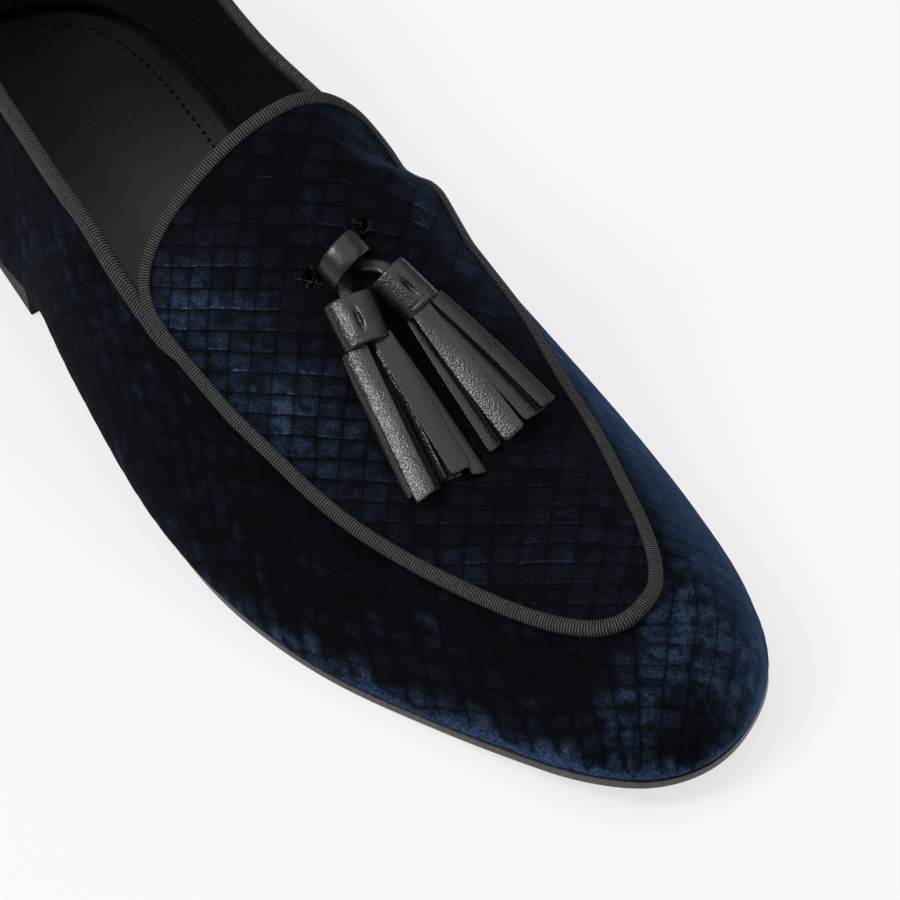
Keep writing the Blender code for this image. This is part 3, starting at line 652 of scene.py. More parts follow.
# velvet: squares of cloth counted on the shoe laid flat
clothCut = {
    "square": {"upper": (6.9, 6.0), "apron": (6.0, 4.95)},
    "rows": {"upper": 57.0, "apron": 53.0},      # degrees to the shoe's length
    "columns": {"upper": -33.0, "apron": -43.0},
    "rowBend": 0.0050, "rowMiddle": -8.0,
    "wallTurn": {lateral: 17.0, medial: 0.0}, "wallTurnOver": (275.0, 200.0),
    "straightBehind": 140.0, "featherSteps": 1600,
    "foldX": (140.0, 190.0, 230.0, 262.0, 293.0),
    "foldHeight": (62.0, 50.0, 40.0, 34.0, 31.0),
    "pillow": 0.07, "pillowMean": 0.6, "lean": 0.07,
}
foldHeight = monotone(clothCut["foldX"], clothCut["foldHeight"])


# the feather line laid out on the cloth from the toe, straight along the quarter
def unrollFeather(side):
    t = np.linspace(toeT, heelT if side == medial else heelT + 1, clothCut["featherSteps"])
    foot = plan(t)
    step = np.diff(foot, axis=0)
    x = foot[:-1, 0]
    heading = np.unwrap(np.arctan2(step[:, 1], step[:, 0]))
    straight = x < clothCut["straightBehind"]
    heading = np.where(straight, heading[np.argmax(straight)], heading)
    turned = smoothStep(x, *clothCut["wallTurnOver"])
    heading = heading + math.radians(clothCut["wallTurn"][side]) * turned
    length = np.linalg.norm(step, axis=1)
    line = np.cumsum(np.stack([np.cos(heading), np.sin(heading)], -1) * length[:, None], axis=0)
    order = slice(None, None, -1 if side == medial else 1)
    return t[1:][order], (foot[0] + line)[order], heading[order]


def layFlat(t, v, side):     # where each point of the wall lies on the cloth
    points = skin(t, v)
    foot = plan(t)
    outward = planNormal(t)
    lean = points[:, :2] - foot
    drop = foldHeight(foot[:, 0]) - points[:, 2]
    flat = np.zeros((len(t), 2))
    for name in (medial, lateral):
        places, line, heading = unrollFeather(name)
        turn = np.interp(t, places, heading)
        ahead = np.stack([np.cos(turn), np.sin(turn)], -1)
        away = np.stack([np.sin(turn), -np.cos(turn)], -1) * name
        travel = np.stack([outward[:, 1], -outward[:, 0]], -1) * -name
        base = atLengths(t, places, line)
        laid = base + away * ((lean * outward).sum(1) + drop)[:, None]
        laid = laid + ahead * (lean * travel).sum(1)[:, None]
        flat = np.where((side == name)[:, None], laid, flat)
    return flat


def countSquares(flat, piece):
    row, column = (math.radians(clothCut[name][piece]) for name in ("rows", "columns"))
    down = flat[:, 0] * math.sin(row) - flat[:, 1] * math.cos(row)
    over = flat[:, 1] * math.cos(column) - flat[:, 0] * math.sin(column)
    if piece == "apron":
        down = down + clothCut["rowBend"] * (flat[:, 1] - clothCut["rowMiddle"]) ** 2
    return np.stack([over, down], -1) / np.array(clothCut["square"][piece])


def squareRelief(squares):
    fu, fw = np.mod(squares[:, 0], 1), np.mod(squares[:, 1], 1)
    pillow = np.sqrt(np.abs(np.sin(math.pi * fu) * np.sin(math.pi * fw)))
    return clothCut["pillow"] * (pillow - clothCut["pillowMean"]) + clothCut["lean"] * (fw - 0.5)


def patchesOn(points, patches):
    total = np.zeros(len(points))
    for x, y, z, radius, strength in patches:
        gap = np.linalg.norm(points - np.array((x, y, z)), axis=1)
        total = total + strength * np.exp(-(gap / radius) ** 2)
    return total


# the upper: velvet outside, lining inside
upperCut = {
    "columns": 760, "rows": 50, "thick": 1.0, "heart": (150, 0, 25),
    "tuck": 4.0, "tuckShare": 0.05,      # turned in under the foot, and its share of the rows
    "underApron": 0.07, "goesUnder": (151.0, 162.0), "topMost": 0.98,
    "lip": 1.25, "lipFade": 0.17, "lipDrop": 0.8, "dropFade": 0.10,
    "heelHang": (1.5, 2.2), "hangFade": 0.24, "heelEnd": (66.0, 96.0),   # out and down, over the sole
    "seam": (0.005, 0.3), "settleFrom": (0.40, 0.58),
    # place on the last, radius and strength of each patch: painted light on the toe's front, painted sheen
    # on its inner edge, along the inner flank and low on the outer side by the sole, and a faint lift of
    # squares on the outer wall
    "patches": ((269, 12, 33, 6, 0.50), (274, 6, 32, 6, 0.55), (278, 1, 31, 6, 0.55),
                (281, -5, 29, 5, 0.55), (284, -11, 25, 6, 0.60), (285, -16, 20, 6, 0.50),
                (279, 11, 29, 7, 0.35), (285, 6, 25, 7, 0.35), (283, 13, 24, 8, 0.40),
                (289, 9, 20, 7, 0.35), (262, 22, 31, 9, 0.30), (172, 33, 46, 10, 0.60),
                (186, 37, 38, 11, 0.75), (200, 38, 31, 11, 0.80), (213, 38, 26, 11, 0.80),
                (225, 37, 23, 9, 0.70), (236, 36, 20, 8, 0.70), (247, 34, 20, 7, 0.70),
                (257, 32, 20, 7, 0.70), (266, 29, 19, 7, 0.70), (274, 26, 17, 7, 0.70),
                (281, 22, 16, 7, 0.60), (287, 16, 15, 6, 0.50), (160, -50, 34, 12, 0.06),
                (136, -48, 42, 10, 0.10), (111, -45, 46, 14, 0.10), (90, -40, 30, 16, 0.12),
                (236, -41, 8, 7, 0.06), (250, -37, 9, 7, 0.08), (262, -32, 10, 7, 0.10),
                (273, -26, 12, 7, 0.12)),
    # painted sheen: along the sole, where the wall turns under, a band of sheen is painted up to a height
    # that changes from square to square
    "hemX": (0.0, 185.0, 205.0, 232.0, 285.0, 294.0),
    "hem": {lateral: (0.25, 0.35, 0.9, 1.4, 1.5, 1.4), medial: (0.40, 0.50, 0.7, 0.9, 1.2, 1.4)},
    "hemTop": (0.07, 0.14), "hemSoft": 1.2, "hemSteps": 97, "hemSeed": 4,
}


def upperTop(x, side):
    free = collarTop(x, side)
    under = np.minimum(apronEdge(x, side) + upperCut["underApron"], upperCut["topMost"])
    return free + (under - free) * smoothStep(x, *upperCut["goesUnder"])


def wallSettle(t, share, side):
    return settle(t, share, side) * smoothStep(share, *upperCut["settleFrom"])


def outerSide(piece):        # 1 for faces on the outer side of the shoe
    middles = np.zeros(len(piece.data.polygons) * 3)
    piece.data.polygons.foreach_get("center", middles)
    x, y = middles[0::3] / mm - shift[0], middles[1::3] / mm - shift[1]
    middle = np.interp(x, (heelX, toeX), (lastShape["heelPoint"][1], lastShape["toePoint"][1]))
    return (y < middle).astype(np.int32)


def makeUpper():
    tuck = upperCut["tuckShare"]
    rng = np.random.default_rng(upperCut["hemSeed"])
    hemHeights = rng.uniform(*upperCut["hemTop"], upperCut["hemSteps"])

    def places(u, v):
        t, x, side = ringPlaces(u)
        return t, np.clip((v - tuck) / (1 - tuck), 0, 1) * upperTop(x, side), x, side

    def weave(u, v):
        t, share, _, side = places(u, v)
        return countSquares(layFlat(t, share, side), "upper")

    def put(u, v):
        t, share, _, side = places(u, v)
        under = np.clip(1 - v / tuck, 0, 1) * upperCut["tuck"]
        seamWidth, seamDepth = upperCut["seam"]
        seam = smoothStep(np.minimum(u, 1 - u), 0.0, seamWidth)
        relief = squareRelief(weave(u, v)) * seam - seamDepth * (1 - seam) + wallSettle(t, share, side)
        points = skin(t, share) + skinNormal(t, share) * relief[:, None]
        hangOut, hangDown = upperCut["heelHang"]
        hang = 1 - smoothStep(plan(t)[:, 0], *upperCut["heelEnd"])
        hang = hang * fadesBy(share, upperCut["hangFade"])
        lip = upperCut["lip"] * fadesBy(share, upperCut["lipFade"]) + hangOut * hang
        drop = upperCut["lipDrop"] * fadesBy(share, upperCut["dropFade"])
        points[:, :2] += planNormal(t) * (lip - under)[:, None]
        points[:, 2] -= drop + hangDown * hang
        return points

    # crushed nap, painted sheen and painted light: the patches, and the sheen band along the sole
    def crushedAndSheen(u, v):
        t, share, x, side = places(u, v)
        strength = bySide(side, *(np.interp(x, upperCut["hemX"], upperCut["hem"][name])
                                  for name in (medial, lateral)))
        column = np.floor(weave(u, v)[:, 0]).astype(int)
        top = hemHeights[column % len(hemHeights)]
        hem = strength * fadesBy(share, upperCut["hemSoft"] * top)
        return patchesOn(skin(t, share), upperCut["patches"]) + hem

    looks = [innerVelvet, liningLeather, shadedOuterVelvet, liningLeather]
    piece = layGrid("velvetUpper", upperCut["columns"], upperCut["rows"], put, looks, weave, crushedAndSheen,
                    inside=upperCut["heart"])
    piece.data.polygons.foreach_set("material_index", outerSide(piece) * 2)
    thicken(piece, upperCut["thick"], -1.0, 1)
    return keep(piece, "velvet", "upper")


liningCut = {"columns": 420, "rows": 30, "depth": 1.25, "thick": 0.5, "start": 0.03}


def makeLining():
    def put(u, v):
        t, x, side = ringPlaces(u)
        free = collarTop(x, side)
        top = free + (1 - free) * smoothStep(x, *collarLine["throat"])
        share = liningCut["start"] + (top - liningCut["start"]) * v
        return lifted(t, share, wallSettle(t, share, side) - liningCut["depth"])

    piece = layGrid("lining", liningCut["columns"], liningCut["rows"], put, [liningLeather],
                    inside=upperCut["heart"], inward=True, merge=0.05)
    thicken(piece, liningCut["thick"], 1.0)
    return keep(piece, "sock")


makeUpper()
makeLining()
print("upper and lining made")


# the apron with its free tongue
apronCut = {
    "columns": 210, "rows": 110, "thick": 1.2, "sunk": 0.1, "heart": (200, 0, 0),
    "crowding": 1.25,        # columns stand closer at the tongue
    "spineFrom": 130.0, "noseTo": 0.4, "girth": 1.04,
    # place on the last, radius and strength of each patch: crushed nap along the outer edge, painted sheen
    # along the tongue's inner shoulder, and a few faint lighter places
    "patches": ((149, -37, 59, 8, 0.45), (156, -39, 55, 6, 0.90), (162, -31, 60, 9, 0.28),
                (170, -38, 49, 9, 0.36), (182, -36, 45, 10, 0.42), (186, -29, 49, 10, 0.28),
                (197, -29, 44, 10, 0.25), (206, -30, 40, 10, 0.22), (142, 14, 77, 4, 0.50),
                (147, 16, 73, 4.5, 0.45), (153, 17, 69, 4.5, 0.45), (160, 18, 65, 5, 0.40),
                (167, 20, 60, 5, 0.35), (176, 20, 55, 8, 0.25), (236, -27, 31, 8, 0.30),
                (254, 5, 38, 12, 0.14), (176, -6, 62, 14, 0.06)),
}


def apronPlaces(u, v):
    first = placeOnPlan(apronLine["x"][0], medial)
    inner = first + u ** apronCut["crowding"] * (toeT - first)
    x = np.where(u > 1 - 1e-9, toeX, plan(inner)[:, 0])
    side = np.where(v > 0.5, medial, lateral)
    share = 1 - (1 - apronEdge(x, side)) * np.abs(2 * v - 1)
    return bySide(side, inner, placeOnPlan(x, lateral)), share, x, side


def apronFlat(u, v):     # the apron rolled out on both sides of its ridge
    t, share, _, _ = apronPlaces(u, v)
    points = skin(t, share)
    ridge = np.linspace(apronCut["spineFrom"], lastShape["ridgeEnds"][1], 300)
    ridge = np.column_stack([ridge, ridgeSide(ridge), ridgeHeight(ridge)])
    nose = skin(np.full(60, toeT), np.linspace(1, apronCut["noseTo"], 60))
    spine = np.vstack([ridge, nose[1:]])
    y, z = (np.interp(points[:, 0], spine[:, 0], spine[:, axis]) for axis in (1, 2))
    away = np.hypot(points[:, 1] - y, points[:, 2] - z) * np.sign(points[:, 1] - y) * apronCut["girth"]
    return np.stack([np.interp(points[:, 0], spine[:, 0], lengthsAlong(spine)), away], -1)


def makeApron():
    def weave(u, v):
        return countSquares(apronFlat(u, v), "apron")

    def put(u, v):
        t, share, x, side = apronPlaces(u, v)
        lift = apronLift(x) + apronLine["thick"] - apronCut["sunk"]
        return lifted(t, share, lift + squareRelief(weave(u, v)) + settle(t, share, side))

    # crushed nap and painted sheen: the apron's patches
    def crushedAndSheen(u, v):
        t, share, _, _ = apronPlaces(u, v)
        return patchesOn(skin(t, share), apronCut["patches"])

    piece = layGrid("velvetApron", apronCut["columns"], apronCut["rows"], put,
                    [apronVelvet, liningLeather], weave, crushedAndSheen, inside=apronCut["heart"], merge=0.01)
    thicken(piece, apronCut["thick"], -1.0, 1)
    return keep(piece, "apron_velvet", "apron")


makeApron()
print("apron made")


# ribbed ribbon round the apron and over the collar
ribbonCut = {
    "apronPitch": 0.64, "collarPitch": 0.80, "samples": 4, "rib": 0.13,
    "apronWidth": 3.1, "apronEdge": -0.9, "apronTop": 0.25,
    "collarWidth": 2.6, "collarWall": 1.5, "collarSteps": 1200,
    "soften": {"rim": 500, "push": 40, "lean": 20, "collarLean": 30, "collar": 10},     # rounds
    "pushFrom": (4.0, 15.0), "reach": 3,
    "collarEnd": (152.5, 174.0), "joins": (141.0, 153.0),
    "beside": (-0.013, 0.034), "slipsUnder": (145.0, 173.0),
}


def evenPath(points, normals, closed, pitch):
    if closed:
        points, normals = np.vstack([points, points[:1]]), np.vstack([normals, normals[:1]])
    gone = lengthsAlong(points)
    ribs = round(gone[-1] / pitch)
    count = ribs * ribbonCut["samples"]
    even = np.linspace(0, gone[-1], count + 1)
    return atLengths(even, gone, points), unit(atLengths(even, gone, normals)), count, ribs


def softenPath(points, rounds, closed):
    for _ in range(rounds):
        if closed:
            points = (np.roll(points, 1, 0) + 2 * points + np.roll(points, -1, 0)) / 4
        else:
            points = points.copy()
            points[1:-1] = (points[:-2] + 2 * points[1:-1] + points[2:]) / 4
    return points


# a section's row: aside, up, and how far a rib swells it either way
def sweepRibbon(name, points, normals, leftwards, section, count, ribs):
    section = np.array(section)
    sides = len(section)

    def put(u, v):
        i = np.rint(u * count).astype(int)
        j = np.rint(v * sides).astype(int) % sides
        rib = 0.5 - 0.5 * np.cos(2 * math.pi * u * ribs)
        aside, up = (section[j, :2] + section[j, 2:] * (ribbonCut["rib"] * rib)[:, None]).T
        return points[i] + leftwards[i] * aside[:, None] + normals[i] * up[:, None]

    def weave(u, v):
        return np.stack([u * ribs + 0.5, v], -1)

    return layGrid(name, count, sides, put, [ribbedRibbon], weave, merge=0.004)


def apronRim():
    steps = np.linspace(0, 1, 400)
    stations = apronLine["x"][0] + (toeX - apronLine["x"][0]) * (1 - np.cos(steps * math.pi)) / 2
    back = stations[0]
    innerCorner, outerCorner = apronEdges[medial](back), apronEdges[lateral](back)
    climb = np.linspace(0, 1, 80)[1:-1]
    parts = [(stations, lateral, apronEdges[lateral](stations)),
             (stations[:-1][::-1], medial, apronEdges[medial](stations[:-1])[::-1]),
             (np.full(len(climb), back), medial, innerCorner + (1 - innerCorner) * climb),
             (np.full(len(climb), back), lateral, 1 - (1 - outerCorner) * climb)]
    points, normals = [], []
    for x, side, share in parts:
        t = placeOnPlan(x, side)
        normal = skinNormal(t, share)
        points.append(skin(t, share) + normal * apronLift(x)[:, None])
        normals.append(normal)
    return np.vstack(points), np.vstack(normals)


def makeApronRibbon():
    points, normals, count, ribs = evenPath(*apronRim(), True, ribbonCut["apronPitch"])
    soften, reach = ribbonCut["soften"], ribbonCut["reach"]
    points = softenPath(points[:-1], soften["rim"], True)
    normals = unit(softenPath(normals[:-1], soften["rim"], True))
    push = settlePush(points[:, 0]) * smoothStep(points[:, 1], *ribbonCut["pushFrom"])
    points = softenPath(points + normals * push[:, None], soften["push"], True)
    along = np.roll(points, -reach, 0) - np.roll(points, reach, 0)
    inward = unit(softenPath(np.cross(normals, unit(along)), soften["lean"], True))
    points, normals, inward = (np.vstack([rows, rows[:1]]) for rows in (points, normals, inward))
    top, edge = apronLine["thick"] + ribbonCut["apronTop"], ribbonCut["apronEdge"]
    far = edge + ribbonCut["apronWidth"]
    section = ((far, top - 0.35, 0, 0), (far, top + 0.18, 0.3, 0.6), (far - 0.5, top + 0.42, 0, 1),
               (0.9, top + 0.58, 0, 1), (0.1, top + 0.58, 0, 1), (edge + 0.5, top + 0.42, 0, 1),
               (edge + 0.1, top - 0.05, -0.7, 0.7), (edge - 0.05, top - 0.7, -1, 0),
               (edge, 0.25, -1, 0), (edge + 0.15, 0.0, 0, 0), (-0.3, 0.0, 0, 0), (-0.3, top - 0.35, 0, 0))
    piece = sweepRibbon("apronRibbon", points, normals, inward, section, count, ribs)
    return keep(piece, "ribbon", "apron_ribbon")


def makeCollarRibbon():
    t, x, side = openRing(ribbonCut["collarSteps"], ribbonCut["collarEnd"])
    # on the outer side it runs on beside the apron's ribbon before it slips under
    before, after = ribbonCut["beside"]
    beside = before + (after - before) * smoothStep(x, *ribbonCut["slipsUnder"])
    own = collarShare(x, lateral)
    outer = own + (apronEdges[lateral](x) + beside - own) * smoothStep(x, *ribbonCut["joins"])
    top = bySide(side, collarShare(x, medial), outer)
    edge = lifted(t, top, wallSettle(t, top, side))
    points, normals, count, ribs = evenPath(edge, skinNormal(t, top), False, ribbonCut["collarPitch"])
    normals = unit(softenPath(normals, ribbonCut["soften"]["collarLean"], False))
    points = softenPath(points, ribbonCut["soften"]["collar"], False)
    up = unit(np.cross(unit(np.gradient(points, axis=0)), normals))
    up = up * np.sign(up[:, 2:3])
    inner, low = -ribbonCut["collarWall"], -ribbonCut["collarWidth"]
    section = ((0.15, low, 0, 0), (0.50, low, 0.5, -0.3), (0.62, low + 0.6, 1, 0), (0.62, -0.6, 1, 0),
               (0.52, 0.15, 0.8, 0.5), (0.05, 0.60, 0.2, 1), (inner / 2, 0.72, 0, 1),
               (inner - 0.05, 0.60, -0.2, 1), (inner - 0.48, 0.15, -0.8, 0.4), (inner - 0.56, -0.6, -1, 0),
               (inner - 0.54, low + 0.4, -1, 0), (inner - 0.1, low, 0, 0), (inner - 0.1, 0.05, 0, 0),
               (0.15, 0.05, 0, 0))
    piece = sweepRibbon("collarRibbon", points, up, normals, section, count, ribs)
    return keep(piece, "ribbon", "collar_ribbon")


makeApronRibbon()
makeCollarRibbon()
print("ribbons made")


# sock, sole and heel lie flat across the foot
def layAcross(name, cut, offset, height, look, crown=0.0):
    def put(u, v):
        inner, x = innerPlaces(u)
        a, b = (plan(t) + planNormal(t) * offset for t in (placeOnPlan(x, lateral), inner))
        flat = a + (b - a) * v[:, None]
        rise = bottomHeight(flat[:, 0]) + height + crown * (1 - (2 * v - 1) ** 4)
        return np.column_stack([flat, rise])

    piece = layGrid(name, *cut["grid"], put, [look], inside=cut["farBelow"], merge=0.01)
    thicken(piece, cut["thick"])
    return roundEdges(piece, cut["round"])


sockCut = {"grid": (200, 24), "farBelow": (150, 0, -500), "inset": 2.2, "height": 3.9, "crown": 0.25,
           "thick": 1.7, "round": 0.5, "stitch": (2.1, 0.84, 0.44), "pitch": 3.1, "pulledIn": 0.8,
           "stitchInset": 7.6, "stitchEnds": (168.0, 168.0), "stitchSteps": 2400}


def makeSock():
    piece = layAcross("sock", sockCut, -sockCut["inset"], sockCut["height"], sockLeather, sockCut["crown"])
    return keep(piece, "sock", "insole")


def makeStitches():      # along the edge of the sock
    t, _, _ = openRing(sockCut["stitchSteps"], sockCut["stitchEnds"])
    flat = plan(t) - planNormal(t) * sockCut["stitchInset"]
    gone = lengthsAlong(flat)
    high = sockCut["height"] + sockCut["crown"] * sockCut["pulledIn"]
    halves = [size / 2 * mm for size in sockCut["stitch"]]
    bm = bmesh.new()
    for place in np.arange(0, gone[-1] - sockCut["pitch"], sockCut["pitch"]):
        start, end = (atLengths(place + far, gone, flat) for far in (0.0, sockCut["stitch"][0]))
        middle = (start + end) / 2
        turn = math.atan2(*(end - start)[::-1])
        shape = (Matrix.Translation(toRow((*middle, bottomHeight(middle[0]) + high)))
                 @ Matrix.Rotation(turn, 4, "Z") @ Matrix.Diagonal((*halves, 1)))
        bmesh.ops.create_icosphere(bm, subdivisions=1, radius=1.0, matrix=shape)
    return keep(finishMesh("sockStitches", bm, [stitchThread]), "sock")


soleCut = {"grid": (260, 24), "farBelow": (150, 0, -500), "ledge": 1.35, "thick": 1.7, "round": 0.45,
           "below": 1.3}


def makeSole():
    piece = layAcross("leatherSole", soleCut, soleCut["ledge"], -soleCut["below"], soleLeather)
    return keep(piece, "sole", "outsole")


heelCut = {"breast": 77.0, "hollow": 3.0, "taper": 1.2, "waist": 0.7, "segments": 220, "round": 0.5,
           "lift": 3.2, "groove": (0.15, 0.12), "gap": 0.1}


def makeHeel():
    seat = float(bottomHeight(heelX)) - soleCut["below"] - soleCut["thick"] - heelCut["gap"]
    breastT = {side: placeOnPlan(heelCut["breast"], side) for side in (medial, lateral)}
    line = np.linspace(breastT[lateral] - 1.0, breastT[medial], 600)

    def ring(inset):
        outer = plan(line) + planNormal(line) * (soleCut["ledge"] - inset)
        front = np.linspace(0, 1, 60)[1:-1, None]
        breast = outer[-1] + (outer[0] - outer[-1]) * front
        breast[:, 0] -= heelCut["hollow"] * np.sin(math.pi * front[:, 0])
        rim = np.vstack([outer, breast, outer[:1]])
        gone = lengthsAlong(rim)
        return atLengths(np.linspace(0, gone[-1], heelCut["segments"], endpoint=False), gone, rim)

    # inset and height of each level: the top piece, a groove round it, and the stack up to the sole
    deep, half = heelCut["groove"]
    waist, lift = heelCut["taper"] * heelCut["waist"], heelCut["lift"]
    levels = ((heelCut["taper"], 0.0), (waist, lift), (waist + deep, lift + half),
              (waist, lift + 2 * half), (0.0, seat))
    bm = bmesh.new()
    rim = bmesh.ops.create_circle(bm, cap_ends=True, segments=heelCut["segments"], radius=1.0)["verts"]
    face = bm.faces[:][0]
    for number, (inset, z) in enumerate(levels):
        if number:
            grown = bmesh.ops.extrude_face_region(bm, geom=[face])
            face = [item for item in grown["geom"] if isinstance(item, bmesh.types.BMFace)][0]
            rim = [loop.vert for loop in face.loops]
        for vert, point in zip(rim, ring(inset)):
            vert.co = toRow((*point, z))
    bmesh.ops.recalc_face_normals(bm, faces=bm.faces[:])
    piece = finishMesh("leatherHeel", bm, [heelLeather])
    roundEdges(piece, heelCut["round"], 2, 50)
    return keep(piece, "heel", "heel")


makeSock()
makeStitches()
makeSole()
makeHeel()
print("sock, sole and heel made")


# tassels
tasselCut = {
    # each strip: across at the cap, across at the end, width, height, tilt to the left, longer by
    "lateral": {"axis": ((177.2, lateral, 0.843, 6.6), (187.3, lateral, 0.823, 6.6),
                         (220.6, lateral, 0.753, 5.0)),
                "cap": (11.4, 10.6), "capRoll": 0.0, "slitAt": 0.0, "shift": 0.0, "seed": 3,
                "strips": ((-4.6, -7.4, 2.4, -1.3, 64, -0.8), (-2.4, -5.0, 4.7, 1.3, 16, 1.4),
                           (0.3, -1.7, 2.6, -1.5, -50, 0.2), (1.2, 0.6, 2.6, -2.0, 48, -1.2),
                           (3.4, 4.4, 5.0, 1.0, -9, -0.6), (4.6, 7.9, 3.0, -1.6, -12, 1.0),
                           (-1.8, -3.6, 4.6, -3.0, 0, -1.6), (1.6, 2.6, 4.6, -3.0, 0, -1.0))},
    "medial": {"axis": ((176.3, lateral, 0.955, 6.6), (186.0, lateral, 0.985, 6.6),
                        (217.9, medial, 0.985, 5.0)),
               "cap": (10.0, 9.6), "capRoll": 26.0, "slitAt": 0.25, "shift": -0.5, "seed": 8,
               "strips": ((-3.2, -7.6, 3.4, -2.0, -4, 0.8), (-1.7, -3.3, 5.2, 1.4, 27, 1.4),
                          (0.6, 0.4, 2.6, -1.4, -52, -0.2), (1.7, 3.4, 4.3, -0.5, -4, -0.2),
                          (2.9, 7.6, 4.2, 0.9, -10, -0.4), (-1.6, -3.8, 4.6, -3.0, 0, -1.0),
                          (0.8, 1.6, 4.6, -3.0, 0, -1.4), (2.6, 6.0, 4.0, -2.4, 0, -0.8))},
    "capGrid": (96, 60), "capDepth": 7.2, "capPower": 2.3,
    # along the cap and its girth: closed end, rounded edge, stitched groove, open end
    "capProfile": ((0.0, 0.0), (0.0, 0.80), (0.004, 0.93), (0.02, 0.985), (0.05, 1.0), (0.86, 1.0),
                   (0.885, 0.955), (0.91, 1.0), (0.985, 0.99), (1.0, 0.93), (1.0, 0.6), (1.0, 0.0)),
    "slit": {"middle": 0.52, "long": 0.19, "wide": 0.075, "deep": 1.2},
    "pucker": {"long": 0.26, "beside": 0.24, "wide": 0.16, "high": 0.15},
    "stripGrid": (34, 16), "stripThick": 1.1, "stripRound": 0.36, "inCap": 0.9, "fanPower": 0.85,
    "sway": 0.35, "bow": 0.4, "droop": 0.7, "crown": 0.22, "ragged": 0.10, "slant": 0.5, "corner": 0.45,
}


def onSkin(x, side, share, lift):
    t = placeOnPlan(x, side)
    normal = skinNormal(t, share)
    return skin(t, share) + normal * lift, normal


def axisFrame(start, end, normal):
    along = unit(end - start)
    across = unit(np.cross(normal, along))
    return along, across, unit(np.cross(along, across))


def makeCap(key, cut):
    head, normal = onSkin(*cut["axis"][0])
    foot, _ = onSkin(*cut["axis"][1])
    along, across, up = axisFrame(head, foot, normal)
    roll = math.radians(cut["capRoll"])
    across, up = (across * math.cos(roll) + up * math.sin(roll),
                  up * math.cos(roll) - across * math.sin(roll))
    length = np.linalg.norm(foot - head)
    profile = np.array(tasselCut["capProfile"])
    gone = lengthsAlong(profile * (2, 1))
    gone = gone / gone[-1]
    slit, pucker = tasselCut["slit"], tasselCut["pucker"]

    def dent(share, over, size):
        return np.exp(-((share - slit["middle"]) / size["long"]) ** 2 - (over / size["wide"]) ** 2)

    def put(u, v):
        share, girth = atLengths(v, gone, profile).T
        first, last = cut["cap"]
        wide = (first + (last - first) * share) / 2 * girth
        aside, front = roundedSquare(u, tasselCut["capPower"])
        beside = aside - cut["slitAt"]
        marks = pucker["high"] * dent(share, np.abs(beside) - pucker["beside"], pucker)
        marks = (marks - slit["deep"] * dent(share, beside, slit)) * (front > 0)
        out = tasselCut["capDepth"] / 2 * girth * front + marks
        over = wide * aside + cut["shift"]
        return head + along * (length * share)[:, None] + across * over[:, None] + up * out[:, None]

    piece = layGrid("cap_" + key, *tasselCut["capGrid"], put, [tasselLeather], merge=0.01)
    return keep(piece, "tassel_leather", "tassel_cap_" + key)


def makeFringe(key, cut):
    rng = np.random.default_rng(cut["seed"])
    foot, normal = onSkin(*cut["axis"][1])
    end, _ = onSkin(*cut["axis"][2])
    along, across, up = axisFrame(foot, end, normal)
    length, inCap = np.linalg.norm(end - foot), tasselCut["inCap"]
    columns, rows = tasselCut["stripGrid"]
    bm = bmesh.new()
    for near, far, width, height, tilt, longer in cut["strips"]:
        odd = rng.uniform(-1, 1, 5)
        made = bmesh.ops.create_grid(bm, x_segments=columns, y_segments=rows, size=0.5)
        for vert in made["verts"]:
            share, side = vert.co.x + 0.5, vert.co.y
            belly = math.sin(math.pi * share)
            fan = near + (far - near) * share ** tasselCut["fanPower"]
            fan += tasselCut["sway"] * odd[0] * belly
            wide = width * (0.90 + 0.10 * min(1.0, share * 2.5))
            roll = math.radians(tilt) * min(1.0, 0.5 + share * 1.1)
            crown = tasselCut["crown"] * (1 - (2 * side) ** 2)
            rise = height * (0.8 + 0.2 * share) - tasselCut["droop"] * share
            rise += tasselCut["bow"] * odd[1] * belly
            rough = tasselCut["ragged"] * math.sin(23 * side + 3 * odd[3]) * math.cos(9 * side + 2 * odd[4])
            rough += tasselCut["slant"] * odd[2] * 2 * side - tasselCut["corner"] * (2 * side) ** 6
            reach = (length + longer + inCap + rough) * share - inCap
            over = fan + math.cos(roll) * side * wide - math.sin(roll) * crown
            lift = rise + math.sin(roll) * side * wide + math.cos(roll) * crown
            vert.co = toRow(foot + along * reach + across * over + up * lift)
    bmesh.ops.recalc_face_normals(bm, faces=bm.faces[:])
    piece = finishMesh("fringe_" + key, bm, [tasselLeather])
    thicken(piece, tasselCut["stripThick"], 0.0)
    roundEdges(piece, tasselCut["stripRound"], 2)
    return keep(piece, "tassel_leather", "tassel_fringe_" + key)


bandCut = {"feet": ((167.5, lateral, 0.779), (165.8, lateral, 0.987)),
           "width": 6.3, "thick": 1.0, "steps": 70,
           # along the slits' line, toward the toe, up: an arch from the outer slit to the inner one
           "route": ((4.3, 3.5, -0.6), (4.5, 3.5, 0.9), (5.2, 3.3, 2.6), (6.7, 2.9, 4.4), (8.8, 2.6, 5.6),
                     (11.2, 2.3, 5.8), (13.4, 2.0, 5.0), (15.0, 1.8, 3.4), (15.7, 1.7, 1.6),
                     (15.8, 1.7, -0.6))}
laceCut = {"width": 2.9, "thick": 1.1, "steps": 90, "ends": (1.0, -0.8),      # into the cap and before it
           "loop": ((7.3, 5.4, 1.7), (7.8, 2.6, 2.1), (9.3, 1.4, 2.3), (10.8, 2.2, 2.3), (11.6, 5.0, 2.1))}


